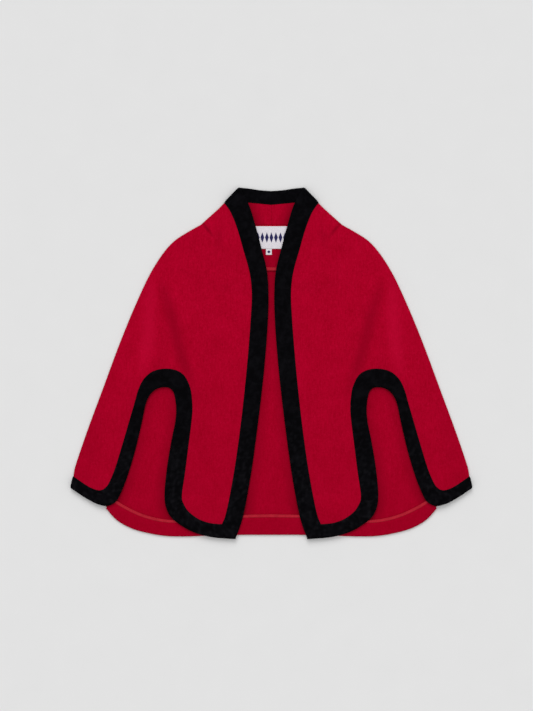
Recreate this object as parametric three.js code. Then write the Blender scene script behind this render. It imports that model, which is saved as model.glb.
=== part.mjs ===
// A red boiled wool cape with black velvet binding, laid flat on its back with its fronts up.
//
// Millimetres. +X points to the wearer's left, +Y to the collar and +Z up from the surface it lies on.
// The origin is on that surface, under the middle of the garment's outline.
// Each piece of cloth is a wall of even thickness, and each lies 0.3 mm above what is under it.
// The tables give the wearer's left half. The right half is its mirror image.

import * as THREE from "three";

// Thicknesses and the space between neighbouring pieces
const WOOL = 1.8;
const VELVET = 1.0;
const TAPE = 2.0;
const LABEL_CLOTH = 1.0;
const GAP = 0.3;

// What a folded-over layer of binding under a wall lifts that wall by
const BINDING_LIFT = VELVET + GAP;
const BINDING_BEVEL = 0.5;

// Spacing of the points on outlines and inside panels
const LONGEST_STEP = 24;
const MOST_TURN = THREE.MathUtils.degToRad(15);
const LATTICE = 32;
const BEND_THAT_NEEDS_DETAIL = 0.12;

// Distances over which a wall comes down from what lifts it
const LIFT_MARGIN = 16;
const LIFT_FADE = 30;

// How far in from the side seam the front layer comes down to the back layer, and how far from binding it may
const SEAM_ROLL = 16;
const SEAM_NEAR_BINDING = 2;
const SEAM_CLEAR_OF_BINDING = 22;

// The neck
const NECK_SEAM_Y = 262.8;
const FACING_HALF_WIDTH = 96;
const FACING_LOWER_Y = 181.5;
const FACING_TAPE_WIDTH = 5.5;
const LABEL_HALF_WIDTH = 34;
const LABEL_TOP_Y = 260.3;
const LABEL_LOWER_Y = 217.5;
const TAG_LEFT_X = -10.4;
const TAG_RIGHT_X = 0.8;
const TAG_LENGTH = 11.5;

// The back hem
const TURN_UP_INSET = 0.6;
const HEM_TAPE_WIDTH = 5;

const table = (columns, rows) =>
  rows.map((row) => Object.fromEntries(columns.map((name, i) => [name, row[i]])));

const BAND_COLUMNS = ["edgeX", "edgeY", "borderX", "borderY"];

// Bound front edge from the collar's corner down to the hem's corner: its free edge, and the binding's border
const FRONT_BAND = table(BAND_COLUMNS, [
  [61.0, 334.0, 89.5, 304.7],
  [43.0, 301.7, 78.0, 287.8],
  [33.0, 271.3, 66.6, 260.8],
  [20.3, 223.8, 53.0, 214.6],
  [8.6, 176.3, 41.1, 170.8],
  [5.5, 135.0, 37.3, 135.0],
  [6.7, 81.3, 39.4, 82.6],
  [14.0, -13.7, 46.9, -10.4],
  [27.2, -127.7, 59.2, -123.2],
  [40.7, -222.7, 73.0, -217.8],
  [55.9, -298.7, 88.0, -291.0],
  [68.5, -334.0, 94.0, -305.5],
]);

// Bound front hem, up one side of the slot, over its arch, down the other side and along the cuff
const SLOT_BAND = table(BAND_COLUMNS, [
  [68.5, -334.0, 94.0, -305.5],
  [116.0, -329.7, 115.5, -303.4],
  [149.0, -320.4, 136.8, -296.3],
  [174.0, -306.3, 157.6, -280.9],
  [192.5, -290.0, 166.0, -268.2],
  [201.2, -270.0, 169.5, -259.5],
  [203.0, -250.0, 169.8, -248.5],
  [199.1, -203.7, 164.1, -208.4],
  [190.0, -147.0, 157.0, -152.9],
  [182.4, -108.7, 151.9, -112.7],
  [181.0, -85.0, 149.8, -85.0],
  [184.1, -61.2, 152.8, -51.7],
  [187.0, -53.4, 156.8, -39.0],
  [191.0, -48.8, 166.0, -22.3],
  [196.0, -46.3, 181.0, -13.0],
  [201.5, -45.6, 201.5, -10.1],
  [213.0, -47.0, 225.0, -15.2],
  [224.0, -53.0, 242.4, -30.0],
  [232.5, -63.0, 253.3, -52.0],
  [238.5, -77.0, 258.8, -71.3],
  [245.3, -108.7, 268.4, -103.9],
  [258.7, -165.7, 284.8, -160.0],
  [273.0, -213.2, 298.6, -203.9],
  [285.4, -245.5, 311.0, -231.5],
  [293.5, -260.7, 316.0, -236.6],
  [302.5, -268.0, 319.5, -239.3],
  [313.0, -271.0, 322.5, -240.5],
  [332.3, -266.6, 328.5, -241.0],
  [355.1, -254.4, 344.0, -235.7],
  [381.0, -237.0, 376.0, -214.5],
]);

// Bound hem of the wing's back layer, just inside the front layer's cuff
const CUFF_BAND = table(BAND_COLUMNS, [
  [318.0, -267.8, 323.0, -243.5],
  [333.0, -264.0, 329.5, -241.5],
  [355.0, -252.4, 344.0, -235.0],
  [379.6, -235.6, 375.6, -214.5],
]);

// Bound top edge of the back collar, from the centre back to the collar's corner
const COLLAR_BAND = table(BAND_COLUMNS, [
  [0.0, 327.3, 0.0, 301.2],
  [22.0, 329.0, 22.0, 303.2],
  [42.0, 332.0, 50.0, 306.0],
  [61.0, 334.0, 85.0, 309.3],
]);

// Back hem from the centre back out to its round corner: its folded edge, and the upper line of the turn-up
const HEM_BAND = table(BAND_COLUMNS, [
  [0.0, -326.1, 0.0, -292.0],
  [60.0, -326.2, 60.0, -293.5],
  [120.0, -327.8, 120.0, -298.5],
  [165.0, -329.2, 165.0, -302.0],
  [200.0, -328.3, 196.0, -302.3],
  [231.6, -323.4, 222.0, -298.3],
  [265.7, -313.9, 250.0, -289.8],
  [293.1, -298.7, 279.5, -275.8],
  [314.4, -275.9, 301.0, -262.5],
]);

const PLAN_COLUMNS = ["x", "y"];

// Over-arm seam up the side of the wing, and the shoulder, from the cuff to the neck point
const SHOULDER_SEAM = table(PLAN_COLUMNS, [
  [376.0, -214.5],
  [374.6, -203.7],
  [369.1, -184.7],
  [349.6, -127.7],
  [321.5, -51.7],
  [286.1, 43.3],
  [254.5, 119.3],
  [226.9, 176.3],
  [201.6, 214.3],
  [183.4, 233.3],
  [160.3, 248.5],
  [134.2, 263.2],
]);

// Side of the collar, from the neck point up to the front binding's border
const COLLAR_SIDE = table(PLAN_COLUMNS, [
  [134.2, 263.2],
  [116.8, 278.9],
  [99.9, 294.1],
  [89.5, 304.7],
]);

// Folds of the front wall over the slot: crest line, height above the flat cloth and half width
const FOLD_COLUMNS = ["x", "y", "height", "halfWidth"];
const FOLDS = {
  wingRidge: table(FOLD_COLUMNS, [
    [216, 176, 0, 24],
    [222, 140, 2.5, 28],
    [225, 90, 5, 32],
    [228, 40, 7, 36],
    [234, 0, 7.5, 40],
    [246, -35, 5, 40],
    [260, -80, 2, 38],
    [270, -120, 0, 36],
  ]),
  chestSwell: table(FOLD_COLUMNS, [
    [192, 168, 0, 26],
    [176, 125, 2, 32],
    [158, 75, 3, 38],
    [142, 25, 3.5, 42],
    [136, -30, 2, 42],
    [136, -90, 0, 42],
  ]),
};

// Plan geometry

const point = (x, y) => new THREE.Vector2(x, y);
const mirrorPoint = (p) => point(-p.x, p.y);
const curveThrough = (points) =>
  new THREE.CatmullRomCurve3(points.map((p) => new THREE.Vector3(p.x, p.y, 0)), false, "centripetal");

// Places along a curve, closer together where it turns
function placesAlong(curve) {
  const gaps = curve.points.length - 1;
  const places = [0];
  for (let i = 0; i < gaps; i += 1) {
    const from = i / gaps;
    const to = (i + 1) / gaps;
    const length = curve.getPoint(from).distanceTo(curve.getPoint(to));
    const turn = curve.getTangent(from).angleTo(curve.getTangent(to));
    const steps = Math.max(1, Math.ceil(length / LONGEST_STEP), Math.ceil(turn / MOST_TURN));
    for (let k = 1; k <= steps; k += 1) {
      places.push(from + ((to - from) * k) / steps);
    }
  }
  return places;
}

function pointsAlong(rows) {
  const curve = curveThrough(rows);
  return placesAlong(curve).map((t) => {
    const p = curve.getPoint(t);
    return point(p.x, p.y);
  });
}

// Stations of a bound edge: the binding's outer edge, and its border on the panel
function stationsAlong(rows) {
  const edge = curveThrough(rows.map((row) => point(row.edgeX, row.edgeY)));
  const border = curveThrough(rows.map((row) => point(row.borderX, row.borderY)));
  return placesAlong(edge).map((t) => {
    const outer = edge.getPoint(t);
    const inner = border.getPoint(t);
    return { edge: point(outer.x, outer.y), border: point(inner.x, inner.y) };
  });
}

const mirrorStations = (stations) =>
  stations.map((s) => ({ edge: mirrorPoint(s.edge), border: mirrorPoint(s.border) })).reverse();

// The point of a station that lies a given distance in from its edge
function inFromEdge(station, distance) {
  const step = station.border.clone().sub(station.edge).setLength(distance);
  return station.edge.clone().add(step);
}

const areaOf = (stations) => [
  ...stations.map((s) => s.edge),
  ...stations.map((s) => s.border).reverse(),
];

function isInside(p, polygon) {
  let inside = false;
  polygon.forEach((a, i) => {
    const b = polygon[(i + 1) % polygon.length];
    if (a.y > p.y !== b.y > p.y && p.x < ((b.x - a.x) * (p.y - a.y)) / (b.y - a.y) + a.x) {
      inside = !inside;
    }
  });
  return inside;
}

// How far along the line from a to b the place nearest to p is, and how far p is from it
function nearestOn(a, b, p) {
  const run = b.clone().sub(a);
  const along = THREE.MathUtils.clamp(p.clone().sub(a).dot(run) / run.lengthSq(), 0, 1);
  return { along, distance: a.clone().addScaledVector(run, along).distanceTo(p) };
}

function distanceToLoop(p, loop) {
  return Math.min(...loop.map((a, i) => nearestOn(a, loop[(i + 1) % loop.length], p).distance));
}

function distanceToLine(p, line) {
  return Math.min(...line.slice(1).map((b, i) => nearestOn(line[i], b, p).distance));
}

const distanceToArea = (p, area) => (isInside(p, area) ? 0 : distanceToLoop(p, area));

// 1 on an area and a little round it, then falling smoothly to 0
function coverOf(p, area) {
  const away = distanceToArea(p, area) - LIFT_MARGIN;
  return 1 - THREE.MathUtils.smoothstep(away, 0, LIFT_FADE);
}

const rectangle = (left, right, lower, upper) => [
  point(left, lower),
  point(right, lower),
  point(right, upper),
  point(left, upper),
];

// Stations and areas of the left half

const frontStations = stationsAlong(FRONT_BAND);
const slotStations = stationsAlong(SLOT_BAND);
const cuffStations = stationsAlong(CUFF_BAND);
const collarStations = stationsAlong(COLLAR_BAND);
const hemStations = stationsAlong(HEM_BAND);
const shoulderPoints = pointsAlong(SHOULDER_SEAM);
const collarSidePoints = pointsAlong(COLLAR_SIDE);

const frontBoundAreas = [areaOf(frontStations), areaOf(slotStations)];
const collarArea = areaOf([...mirrorStations(collarStations), ...collarStations.slice(1)]);
const cuffArea = areaOf(cuffStations);
const facingArea = rectangle(
  -FACING_HALF_WIDTH,
  FACING_HALF_WIDTH,
  FACING_LOWER_Y - FACING_TAPE_WIDTH,
  NECK_SEAM_Y,
);
const labelArea = rectangle(
  -LABEL_HALF_WIDTH,
  LABEL_HALF_WIDTH,
  LABEL_LOWER_Y - TAG_LENGTH,
  LABEL_TOP_Y,
);
const hemArea = areaOf(
  hemStations.map((s) => ({ edge: s.edge, border: inFromEdge(s, s.edge.distanceTo(s.border) + HEM_TAPE_WIDTH) })),
);

// What lies between the back and the fronts, and how thick it is
const UNDERLAYS = [
  { area: collarArea, thickness: VELVET },
  { area: cuffArea, thickness: VELVET },
  { area: facingArea, thickness: TAPE },
  { area: labelArea, thickness: WOOL + GAP + LABEL_CLOTH },
  { area: hemArea, thickness: TAPE },
];

// Heights

function foldHeight(p) {
  let total = 0;
  for (const rows of Object.values(FOLDS)) {
    let best = { distance: Infinity };
    for (let i = 0; i + 1 < rows.length; i += 1) {
      const a = rows[i];
      const b = rows[i + 1];
      const near = nearestOn(point(a.x, a.y), point(b.x, b.y), p);
      if (near.distance < best.distance) {
        best = {
          distance: near.distance,
          height: THREE.MathUtils.lerp(a.height, b.height, near.along),
          halfWidth: THREE.MathUtils.lerp(a.halfWidth, b.halfWidth, near.along),
        };
      }
    }
    total += best.height * (1 - THREE.MathUtils.smoothstep(best.distance, 0, best.halfWidth));
  }
  return total;
}

const onLeftHalf = (p) => point(Math.abs(p.x), p.y);

// Underside of the back layer, lifted where binding folds under it
function backBottom(p) {
  const q = onLeftHalf(p);
  return BINDING_LIFT * Math.max(coverOf(q, collarArea), coverOf(q, cuffArea));
}

const onBack = (p) => backBottom(p) + WOOL + GAP;
const onFacing = (p) => onBack(p) + WOOL + GAP;

// 0 on the side seam, 1 well inside the panel and where the binding crosses the seam
function opennessAt(p) {
  const seam = Math.min(distanceToLine(p, shoulderPoints), distanceToLine(p, collarSidePoints));
  const bound = Math.min(...frontBoundAreas.map((area) => distanceToArea(p, area)));
  return Math.max(
    THREE.MathUtils.smoothstep(seam, 0, SEAM_ROLL),
    1 - THREE.MathUtils.smoothstep(bound, SEAM_NEAR_BINDING, SEAM_CLEAR_OF_BINDING),
  );
}

// Underside of the front layer
function frontBottom(p) {
  const under = Math.max(...UNDERLAYS.map(({ area, thickness }) => (thickness + GAP) * coverOf(p, area)));
  const binding = Math.max(...frontBoundAreas.map((area) => coverOf(p, area)));
  return onBack(p) + (under + BINDING_LIFT * binding) * opennessAt(p) + foldHeight(p);
}

// Panels

// Joins points into triangles by the empty circle rule, leaving out what lies outside the rim
function joinPoints(points, rim) {
  const reach = 1e5;
  const all = [...points, point(-reach, -reach), point(reach, -reach), point(0, reach)];
  const circleOf = (corners) => {
    const [a, b, c] = corners.map((i) => all[i]);
    const d = 2 * ((b.x - a.x) * (c.y - a.y) - (b.y - a.y) * (c.x - a.x));
    const ab = b.lengthSq() - a.lengthSq();
    const ac = c.lengthSq() - a.lengthSq();
    const x = (ab * (c.y - a.y) - ac * (b.y - a.y)) / d;
    const y = (ac * (b.x - a.x) - ab * (c.x - a.x)) / d;
    return { corners, centre: point(x, y), radius: point(x, y).distanceTo(a) };
  };
  let circles = [circleOf([points.length, points.length + 1, points.length + 2])];
  points.forEach((p, index) => {
    const open = new Map();
    circles = circles.filter((circle) => {
      if (circle.centre.distanceTo(p) >= circle.radius - 1e-7) {
        return true;
      }
      circle.corners.forEach((from, i) => {
        const to = circle.corners[(i + 1) % 3];
        if (!open.delete(`${to},${from}`)) {
          open.set(`${from},${to}`, [from, to]);
        }
      });
      return false;
    });
    for (const [from, to] of open.values()) {
      circles.push(circleOf([from, to, index]));
    }
  });
  return circles
    .map((circle) => circle.corners)
    .filter((corners) => {
      const middle = corners.reduce((sum, i) => sum.add(all[i]), point(0, 0)).divideScalar(3);
      return corners.every((i) => i < points.length) && isInside(middle, rim);
    });
}

// Points inside a loop on a triangular lattice, twice as close together where the height bends
function latticeInside(loop, heightAt) {
  const step = LATTICE / 2;
  const rise = (step * Math.sqrt(3)) / 2;
  const xs = loop.map((p) => p.x);
  const ys = loop.map((p) => p.y);
  const rows = Math.ceil(Math.max(...ys.map(Math.abs)) / rise);
  const columns = Math.ceil(Math.max(...xs.map(Math.abs)) / step);
  const points = [];
  for (let row = -rows; row <= rows; row += 1) {
    for (let column = -columns; column <= columns; column += 1) {
      const p = point((column + (row % 2 === 0 ? 0 : 0.5)) * step, row * rise);
      const isCoarse = row % 2 === 0 && (column + row / 2) % 2 === 0;
      if (!isInside(p, loop) || distanceToLoop(p, loop) < step * 0.55) {
        continue;
      }
      if (isCoarse || bendAt(p, step, heightAt) > BEND_THAT_NEEDS_DETAIL) {
        points.push(p);
      }
    }
  }
  return points;
}

function bendAt(p, step, heightAt) {
  const middle = 2 * heightAt(p);
  const across = heightAt(point(p.x - step, p.y)) + heightAt(point(p.x + step, p.y)) - middle;
  const along = heightAt(point(p.x, p.y - step)) + heightAt(point(p.x, p.y + step)) - middle;
  return Math.abs(across) + Math.abs(along);
}

// A flat plan of points and triangles inside stretches that run round it, left side inwards.
// A bound stretch has a strip of its own between its edge and its border.
function planOf(stretches, heightAt) {
  const points = [];
  const places = new Map();
  const place = (p) => {
    const key = `${p.x.toFixed(4)},${p.y.toFixed(4)}`;
    if (!places.has(key)) {
      places.set(key, points.length);
      points.push(p);
    }
    return places.get(key);
  };
  const loopOf = (lists) => {
    const loop = lists.flat().map(place);
    return loop.filter((index, i) => index !== loop[(i + 1) % loop.length]);
  };
  const rim = loopOf(stretches.map((s) => s.edge));
  const inner = loopOf(stretches.map((s) => s.border ?? s.edge));
  const faces = [];
  for (const { edge, border } of stretches.filter((s) => s.border)) {
    for (let i = 0; i + 1 < edge.length; i += 1) {
      const [a, b, c, d] = [edge[i], edge[i + 1], border[i + 1], border[i]].map(place);
      faces.push([a, b, c], [a, c, d]);
    }
  }
  const loop = inner.map((i) => points[i]);
  const filling = [...loop, ...latticeInside(loop, heightAt)];
  faces.push(...joinPoints(filling, loop).map((corners) => corners.map((i) => place(filling[i]))));
  return { points, faces, rim };
}

function geometryOf(positions, indices) {
  const geometry = new THREE.BufferGeometry();
  geometry.setAttribute("position", new THREE.Float32BufferAttribute(positions, 3));
  geometry.setIndex(indices);
  geometry.computeVertexNormals();
  return geometry;
}

// A wall of cloth over a plan
function wallOver({ points, faces, rim }, bottomAt, thickness) {
  const heights = points.map(bottomAt);
  const bottom = points.flatMap((p, i) => [p.x, p.y, heights[i]]);
  const top = points.flatMap((p, i) => [p.x, p.y, heights[i] + thickness]);
  const count = points.length;
  const indices = faces.flatMap(([a, b, c]) => [a, c, b, a + count, b + count, c + count]);
  rim.forEach((a, i) => {
    const b = rim[(i + 1) % rim.length];
    indices.push(a, b, b + count, a, b + count, a + count);
  });
  return geometryOf([...bottom, ...top], indices);
}

// A wall between two rows of points
function stripWall(lower, upper, bottomAt, thickness) {
  const count = lower.length;
  const faces = [];
  for (let i = 0; i + 1 < count; i += 1) {
    faces.push([i, i + 1, i + 1 + count], [i, i + 1 + count, i + count]);
  }
  const ends = [...lower.keys()];
  const rim = [...ends, ...ends.map((i) => i + count).reverse()];
  return wallOver({ points: [...lower, ...upper], faces, rim }, bottomAt, thickness);
}

// Binding folded over the edge of a wall: ten corners a station, round both faces and the edge
function bindingOver(stations, bottomAt) {
  const corners = stations.flatMap((station) => {
    const { edge, border } = station;
    const atWall = inFromEdge(station, VELVET + GAP);
    const inside = inFromEdge(station, VELVET);
    const shoulder = inFromEdge(station, BINDING_BEVEL);
    const low = { edge: bottomAt(atWall) - GAP, border: bottomAt(border) - GAP };
    const high = { edge: bottomAt(atWall) + WOOL + GAP, border: bottomAt(border) + WOOL + GAP };
    return [
      [border, high.border],
      [inside, high.edge],
      [inside, low.edge],
      [border, low.border],
      [border, low.border - VELVET],
      [shoulder, low.edge - VELVET],
      [edge, low.edge - VELVET + BINDING_BEVEL],
      [edge, high.edge + VELVET - BINDING_BEVEL],
      [shoulder, high.edge + VELVET],
      [border, high.border + VELVET],
    ];
  });
  const around = corners.length / stations.length;
  const indices = [];
  for (let i = 0; i + 1 < stations.length; i += 1) {
    for (let k = 0; k < around; k += 1) {
      const next = (k + 1) % around;
      const [a, b, c, d] = [i * around + k, i * around + next, (i + 1) * around + next, (i + 1) * around + k];
      const edgeIsFirst = [1, 2, 5, 6, 7, 8].includes(k);
      indices.push(...(edgeIsFirst ? [a, c, b, a, d, c] : [a, d, b, b, d, c]));
    }
  }
  const last = (stations.length - 1) * around;
  for (const [a, b, c] of [[0, 1, 8], [0, 8, 9], [1, 2, 5], [1, 5, 6], [1, 6, 7], [1, 7, 8], [2, 3, 4], [2, 4, 5]]) {
    indices.push(a, b, c, last + a, last + c, last + b);
  }
  return geometryOf(corners.flatMap(([p, z]) => [p.x, p.y, z]), indices);
}

// Moves the last station of a run back along it, to leave its share of the gap at a mitre
function trimmed(stations) {
  const last = stations.at(-1);
  const before = stations.at(-2);
  const back = (key) => {
    const step = before[key].clone().sub(last[key]).setLength(GAP);
    return last[key].clone().add(step);
  };
  return [...stations.slice(0, -1), { edge: back("edge"), border: back("border") }];
}

function mirrored(geometry) {
  const positions = [...geometry.attributes.position.array].map((value, i) => (i % 3 === 0 ? -value : value));
  const index = [...geometry.index.array];
  const indices = index.map((_, i) => index[i - (i % 3) + ((3 - (i % 3)) % 3)]);
  return geometryOf(positions, indices);
}

// Materials

const cloth = (color, roughness) => new THREE.MeshStandardMaterial({ color, roughness, metalness: 0 });
const WOOL_RED = () => cloth("#a00022", 0.95);
const VELVET_BLACK = () => cloth("#0c0a0c", 0.9);
const TAPE_RED = () => cloth("#a82632", 0.8);
const LABEL_WHITE = () => cloth("#e4e0e0", 0.7);

const cape = new THREE.Group();

function add(name, geometry, material) {
  const mesh = new THREE.Mesh(geometry, material);
  mesh.name = name;
  cape.add(mesh);
}

function addPair(name, geometry, material) {
  add(`${name}_left`, geometry, material());
  add(`${name}_right`, mirrored(geometry), material());
}

const wallEdge = (stations) => stations.map((s) => inFromEdge(s, BINDING_LIFT));
const borderOf = (stations) => stations.map((s) => s.border);

function backPanel() {
  const neckSeamY = NECK_SEAM_Y - GAP / 2;
  const neckPoint = shoulderPoints.at(-1);
  const right = [
    { edge: hemStations.map((s) => s.edge) },
    { edge: wallEdge(cuffStations), border: borderOf(cuffStations) },
    { edge: [cuffStations.at(-1).border, ...shoulderPoints.slice(1, -1)] },
    { edge: [point(neckPoint.x, neckSeamY), point(0, neckSeamY)] },
  ];
  right[0].edge.push(right[1].edge[0]);
  const left = right
    .map(({ edge, border }) => ({
      edge: edge.map(mirrorPoint).reverse(),
      border: border?.map(mirrorPoint).reverse(),
    }))
    .reverse();
  return wallOver(planOf([...right, ...left], backBottom), backBottom, WOOL);
}

function frontPanel() {
  const band = [...frontStations, ...slotStations.slice(1)];
  const plan = planOf(
    [
      { edge: wallEdge(band), border: borderOf(band) },
      { edge: [...shoulderPoints, ...collarSidePoints.slice(1)] },
    ],
    frontBottom,
  );
  return wallOver(plan, frontBottom, WOOL);
}

function backCollar() {
  const seamY = NECK_SEAM_Y + GAP / 2;
  const seamX = GAP / 2;
  const top = [...collarStations].reverse().map((s) => ({
    edge: point(Math.max(s.edge.x, seamX), s.edge.y),
    border: point(Math.max(s.border.x, seamX), s.border.y),
  }));
  const side = collarSidePoints.filter((p) => p.y < top[0].border.y);
  const plan = planOf(
    [
      { edge: [point(seamX, seamY), point(side[0].x, seamY), ...side.slice(1), top[0].border] },
      { edge: wallEdge(top), border: borderOf(top) },
      { edge: [top.at(-1).border] },
    ],
    backBottom,
  );
  return wallOver(plan, backBottom, WOOL);
}

function hemStrip(from, to, thickness) {
  const both = [...mirrorStations(hemStations), ...hemStations.slice(1)];
  const lower = both.map((s) => inFromEdge(s, from(s)));
  const upper = both.map((s) => inFromEdge(s, to(s)));
  return stripWall(lower, upper, onBack, thickness);
}

const hemDepth = (s) => s.edge.distanceTo(s.border);

function flatPiece(left, right, lower, upper, bottomAt, thickness) {
  const across = [left, (left + right) / 2, right];
  const row = (y) => across.map((x) => point(x, y));
  return stripWall(row(lower), row(upper), bottomAt, thickness);
}

const collarRun = [...mirrorStations(collarStations), ...collarStations.slice(1)].reverse();

add("back_panel", backPanel(), WOOL_RED());
addPair("front", frontPanel(), WOOL_RED);
addPair("back_collar", backCollar(), WOOL_RED);
addPair("front_binding", bindingOver(trimmed(frontStations), frontBottom), VELVET_BLACK);
addPair("slot_binding", bindingOver(slotStations, frontBottom), VELVET_BLACK);
addPair("cuff_binding", bindingOver(cuffStations, backBottom), VELVET_BLACK);
add("collar_binding", bindingOver(collarRun, backBottom), VELVET_BLACK());
add("hem_turn_up", hemStrip(() => TURN_UP_INSET, hemDepth, WOOL), WOOL_RED());
add("hem_tape", hemStrip((s) => hemDepth(s) + GAP, (s) => hemDepth(s) + HEM_TAPE_WIDTH, TAPE), TAPE_RED());
add(
  "neck_facing",
  flatPiece(-FACING_HALF_WIDTH, FACING_HALF_WIDTH, FACING_LOWER_Y, NECK_SEAM_Y - GAP, onBack, WOOL),
  WOOL_RED(),
);
add(
  "neck_tape",
  flatPiece(
    -FACING_HALF_WIDTH,
    FACING_HALF_WIDTH,
    FACING_LOWER_Y - FACING_TAPE_WIDTH,
    FACING_LOWER_Y - GAP,
    onBack,
    TAPE,
  ),
  TAPE_RED(),
);
add(
  "label",
  flatPiece(-LABEL_HALF_WIDTH, LABEL_HALF_WIDTH, LABEL_LOWER_Y, LABEL_TOP_Y, onFacing, LABEL_CLOTH),
  LABEL_WHITE(),
);
add(
  "size_tag",
  flatPiece(TAG_LEFT_X, TAG_RIGHT_X, LABEL_LOWER_Y - TAG_LENGTH, LABEL_LOWER_Y - GAP, onFacing, LABEL_CLOTH),
  LABEL_WHITE(),
);

export default cape;
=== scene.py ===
"""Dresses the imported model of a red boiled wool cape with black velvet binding, laid flat on its back.

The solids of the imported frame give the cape's shape. Here each piece of cloth is made again as a fine
shell on its solid's form, with creases, rolled edges, seams and stitches, and gets the finish of its cloth.
Sizes are in millimetres until a mesh is done, and then in metres. +X points to the wearer's left, +Y to the
collar and +Z up from the surface. The tables give the wearer's left half, except for the back's creases.
"""

import logging
import math
from collections.abc import Callable, Iterable, Sequence
from dataclasses import dataclass, field
from enum import Enum

import bmesh
import bpy
import numpy as np
from mathutils import Matrix, Vector, noise


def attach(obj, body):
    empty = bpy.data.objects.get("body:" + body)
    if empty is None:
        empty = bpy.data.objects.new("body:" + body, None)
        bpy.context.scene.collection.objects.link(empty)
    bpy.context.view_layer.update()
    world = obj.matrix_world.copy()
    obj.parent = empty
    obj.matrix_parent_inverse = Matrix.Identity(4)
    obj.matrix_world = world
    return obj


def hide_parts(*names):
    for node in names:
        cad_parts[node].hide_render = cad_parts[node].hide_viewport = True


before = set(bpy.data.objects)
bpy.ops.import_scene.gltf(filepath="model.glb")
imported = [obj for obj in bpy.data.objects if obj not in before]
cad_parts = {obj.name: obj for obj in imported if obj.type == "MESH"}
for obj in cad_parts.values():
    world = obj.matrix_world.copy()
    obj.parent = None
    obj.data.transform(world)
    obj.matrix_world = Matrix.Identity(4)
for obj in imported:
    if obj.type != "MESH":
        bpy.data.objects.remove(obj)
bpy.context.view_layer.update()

LOG = logging.getLogger("cape")
MM = 0.001
BODY = "root"

WOOL_THICK = 1.8
VELVET_THICK = 1.0
TAPE_THICK = 2.0
LABEL_THICK = 1.0
GAP = 0.3
BINDING_LIFT = VELVET_THICK + GAP

Table = tuple[tuple[float, ...], ...]
Colour = tuple[float, float, float]
Range = tuple[float, float]
Socket = bpy.types.NodeSocket
Points = np.ndarray
Heights = Callable[[Points], np.ndarray]


class Side(Enum):
    """The wearer's side that a piece belongs to."""

    LEFT = "left"
    RIGHT = "right"


class Slot(Enum):
    """Material slots."""

    WOOL = "wool"
    VELVET = "velvet"
    TAPE = "tape"
    LABEL = "label"


# Each bound edge: rows of x and y on the edge, then x and y on the border of its binding or turn-up
FRONT_BAND: Table = (
    (61.0, 334.0, 89.5, 304.7), (43.0, 301.7, 78.0, 287.8), (33.0, 271.3, 66.6, 260.8),
    (20.3, 223.8, 53.0, 214.6), (8.6, 176.3, 41.1, 170.8), (5.5, 135.0, 37.3, 135.0),
    (6.7, 81.3, 39.4, 82.6), (14.0, -13.7, 46.9, -10.4), (27.2, -127.7, 59.2, -123.2),
    (40.7, -222.7, 73.0, -217.8), (55.9, -298.7, 88.0, -291.0), (68.5, -334.0, 94.0, -305.5),
)
SLOT_BAND: Table = (
    (68.5, -334.0, 94.0, -305.5), (116.0, -329.7, 115.5, -303.4), (149.0, -320.4, 136.8, -296.3),
    (174.0, -306.3, 157.6, -280.9), (192.5, -290.0, 166.0, -268.2), (201.2, -270.0, 169.5, -259.5),
    (203.0, -250.0, 169.8, -248.5), (199.1, -203.7, 164.1, -208.4), (190.0, -147.0, 157.0, -152.9),
    (182.4, -108.7, 151.9, -112.7), (181.0, -85.0, 149.8, -85.0), (184.1, -61.2, 152.8, -51.7),
    (187.0, -53.4, 156.8, -39.0), (191.0, -48.8, 166.0, -22.3), (196.0, -46.3, 181.0, -13.0),
    (201.5, -45.6, 201.5, -10.1), (213.0, -47.0, 225.0, -15.2), (224.0, -53.0, 242.4, -30.0),
    (232.5, -63.0, 253.3, -52.0), (238.5, -77.0, 258.8, -71.3), (245.3, -108.7, 268.4, -103.9),
    (258.7, -165.7, 284.8, -160.0), (273.0, -213.2, 298.6, -203.9), (285.4, -245.5, 311.0, -231.5),
    (293.5, -260.7, 316.0, -236.6), (302.5, -268.0, 319.5, -239.3), (313.0, -271.0, 322.5, -240.5),
    (332.3, -266.6, 328.5, -241.0), (355.1, -254.4, 344.0, -235.7), (381.0, -237.0, 376.0, -214.5),
)
CUFF_BAND: Table = (
    (318.0, -267.8, 323.0, -243.5), (333.0, -264.0, 329.5, -241.5), (355.0, -252.4, 344.0, -235.0),
    (379.6, -235.6, 375.6, -214.5),
)
COLLAR_BAND: Table = (
    (0.0, 327.3, 0.0, 301.2), (22.0, 329.0, 22.0, 303.2), (42.0, 332.0, 50.0, 306.0),
    (61.0, 334.0, 85.0, 309.3),
)
HEM_BAND: Table = (
    (0.0, -326.1, 0.0, -292.0), (60.0, -326.2, 60.0, -293.5), (120.0, -327.8, 120.0, -298.5),
    (165.0, -329.2, 165.0, -302.0), (200.0, -328.3, 196.0, -302.3), (231.6, -323.4, 222.0, -298.3),
    (265.7, -313.9, 250.0, -289.8), (293.1, -298.7, 279.5, -275.8), (314.4, -275.9, 301.0, -262.5),
)
# Each seam: rows of x and y
SHOULDER_SEAM: Table = (
    (376.0, -214.5), (374.6, -203.7), (369.1, -184.7), (349.6, -127.7), (321.5, -51.7), (286.1, 43.3),
    (254.5, 119.3), (226.9, 176.3), (201.6, 214.3), (183.4, 233.3), (160.3, 248.5), (134.2, 263.2),
)
COLLAR_SIDE: Table = ((134.2, 263.2), (116.8, 278.9), (99.9, 294.1), (89.5, 304.7))

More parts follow.
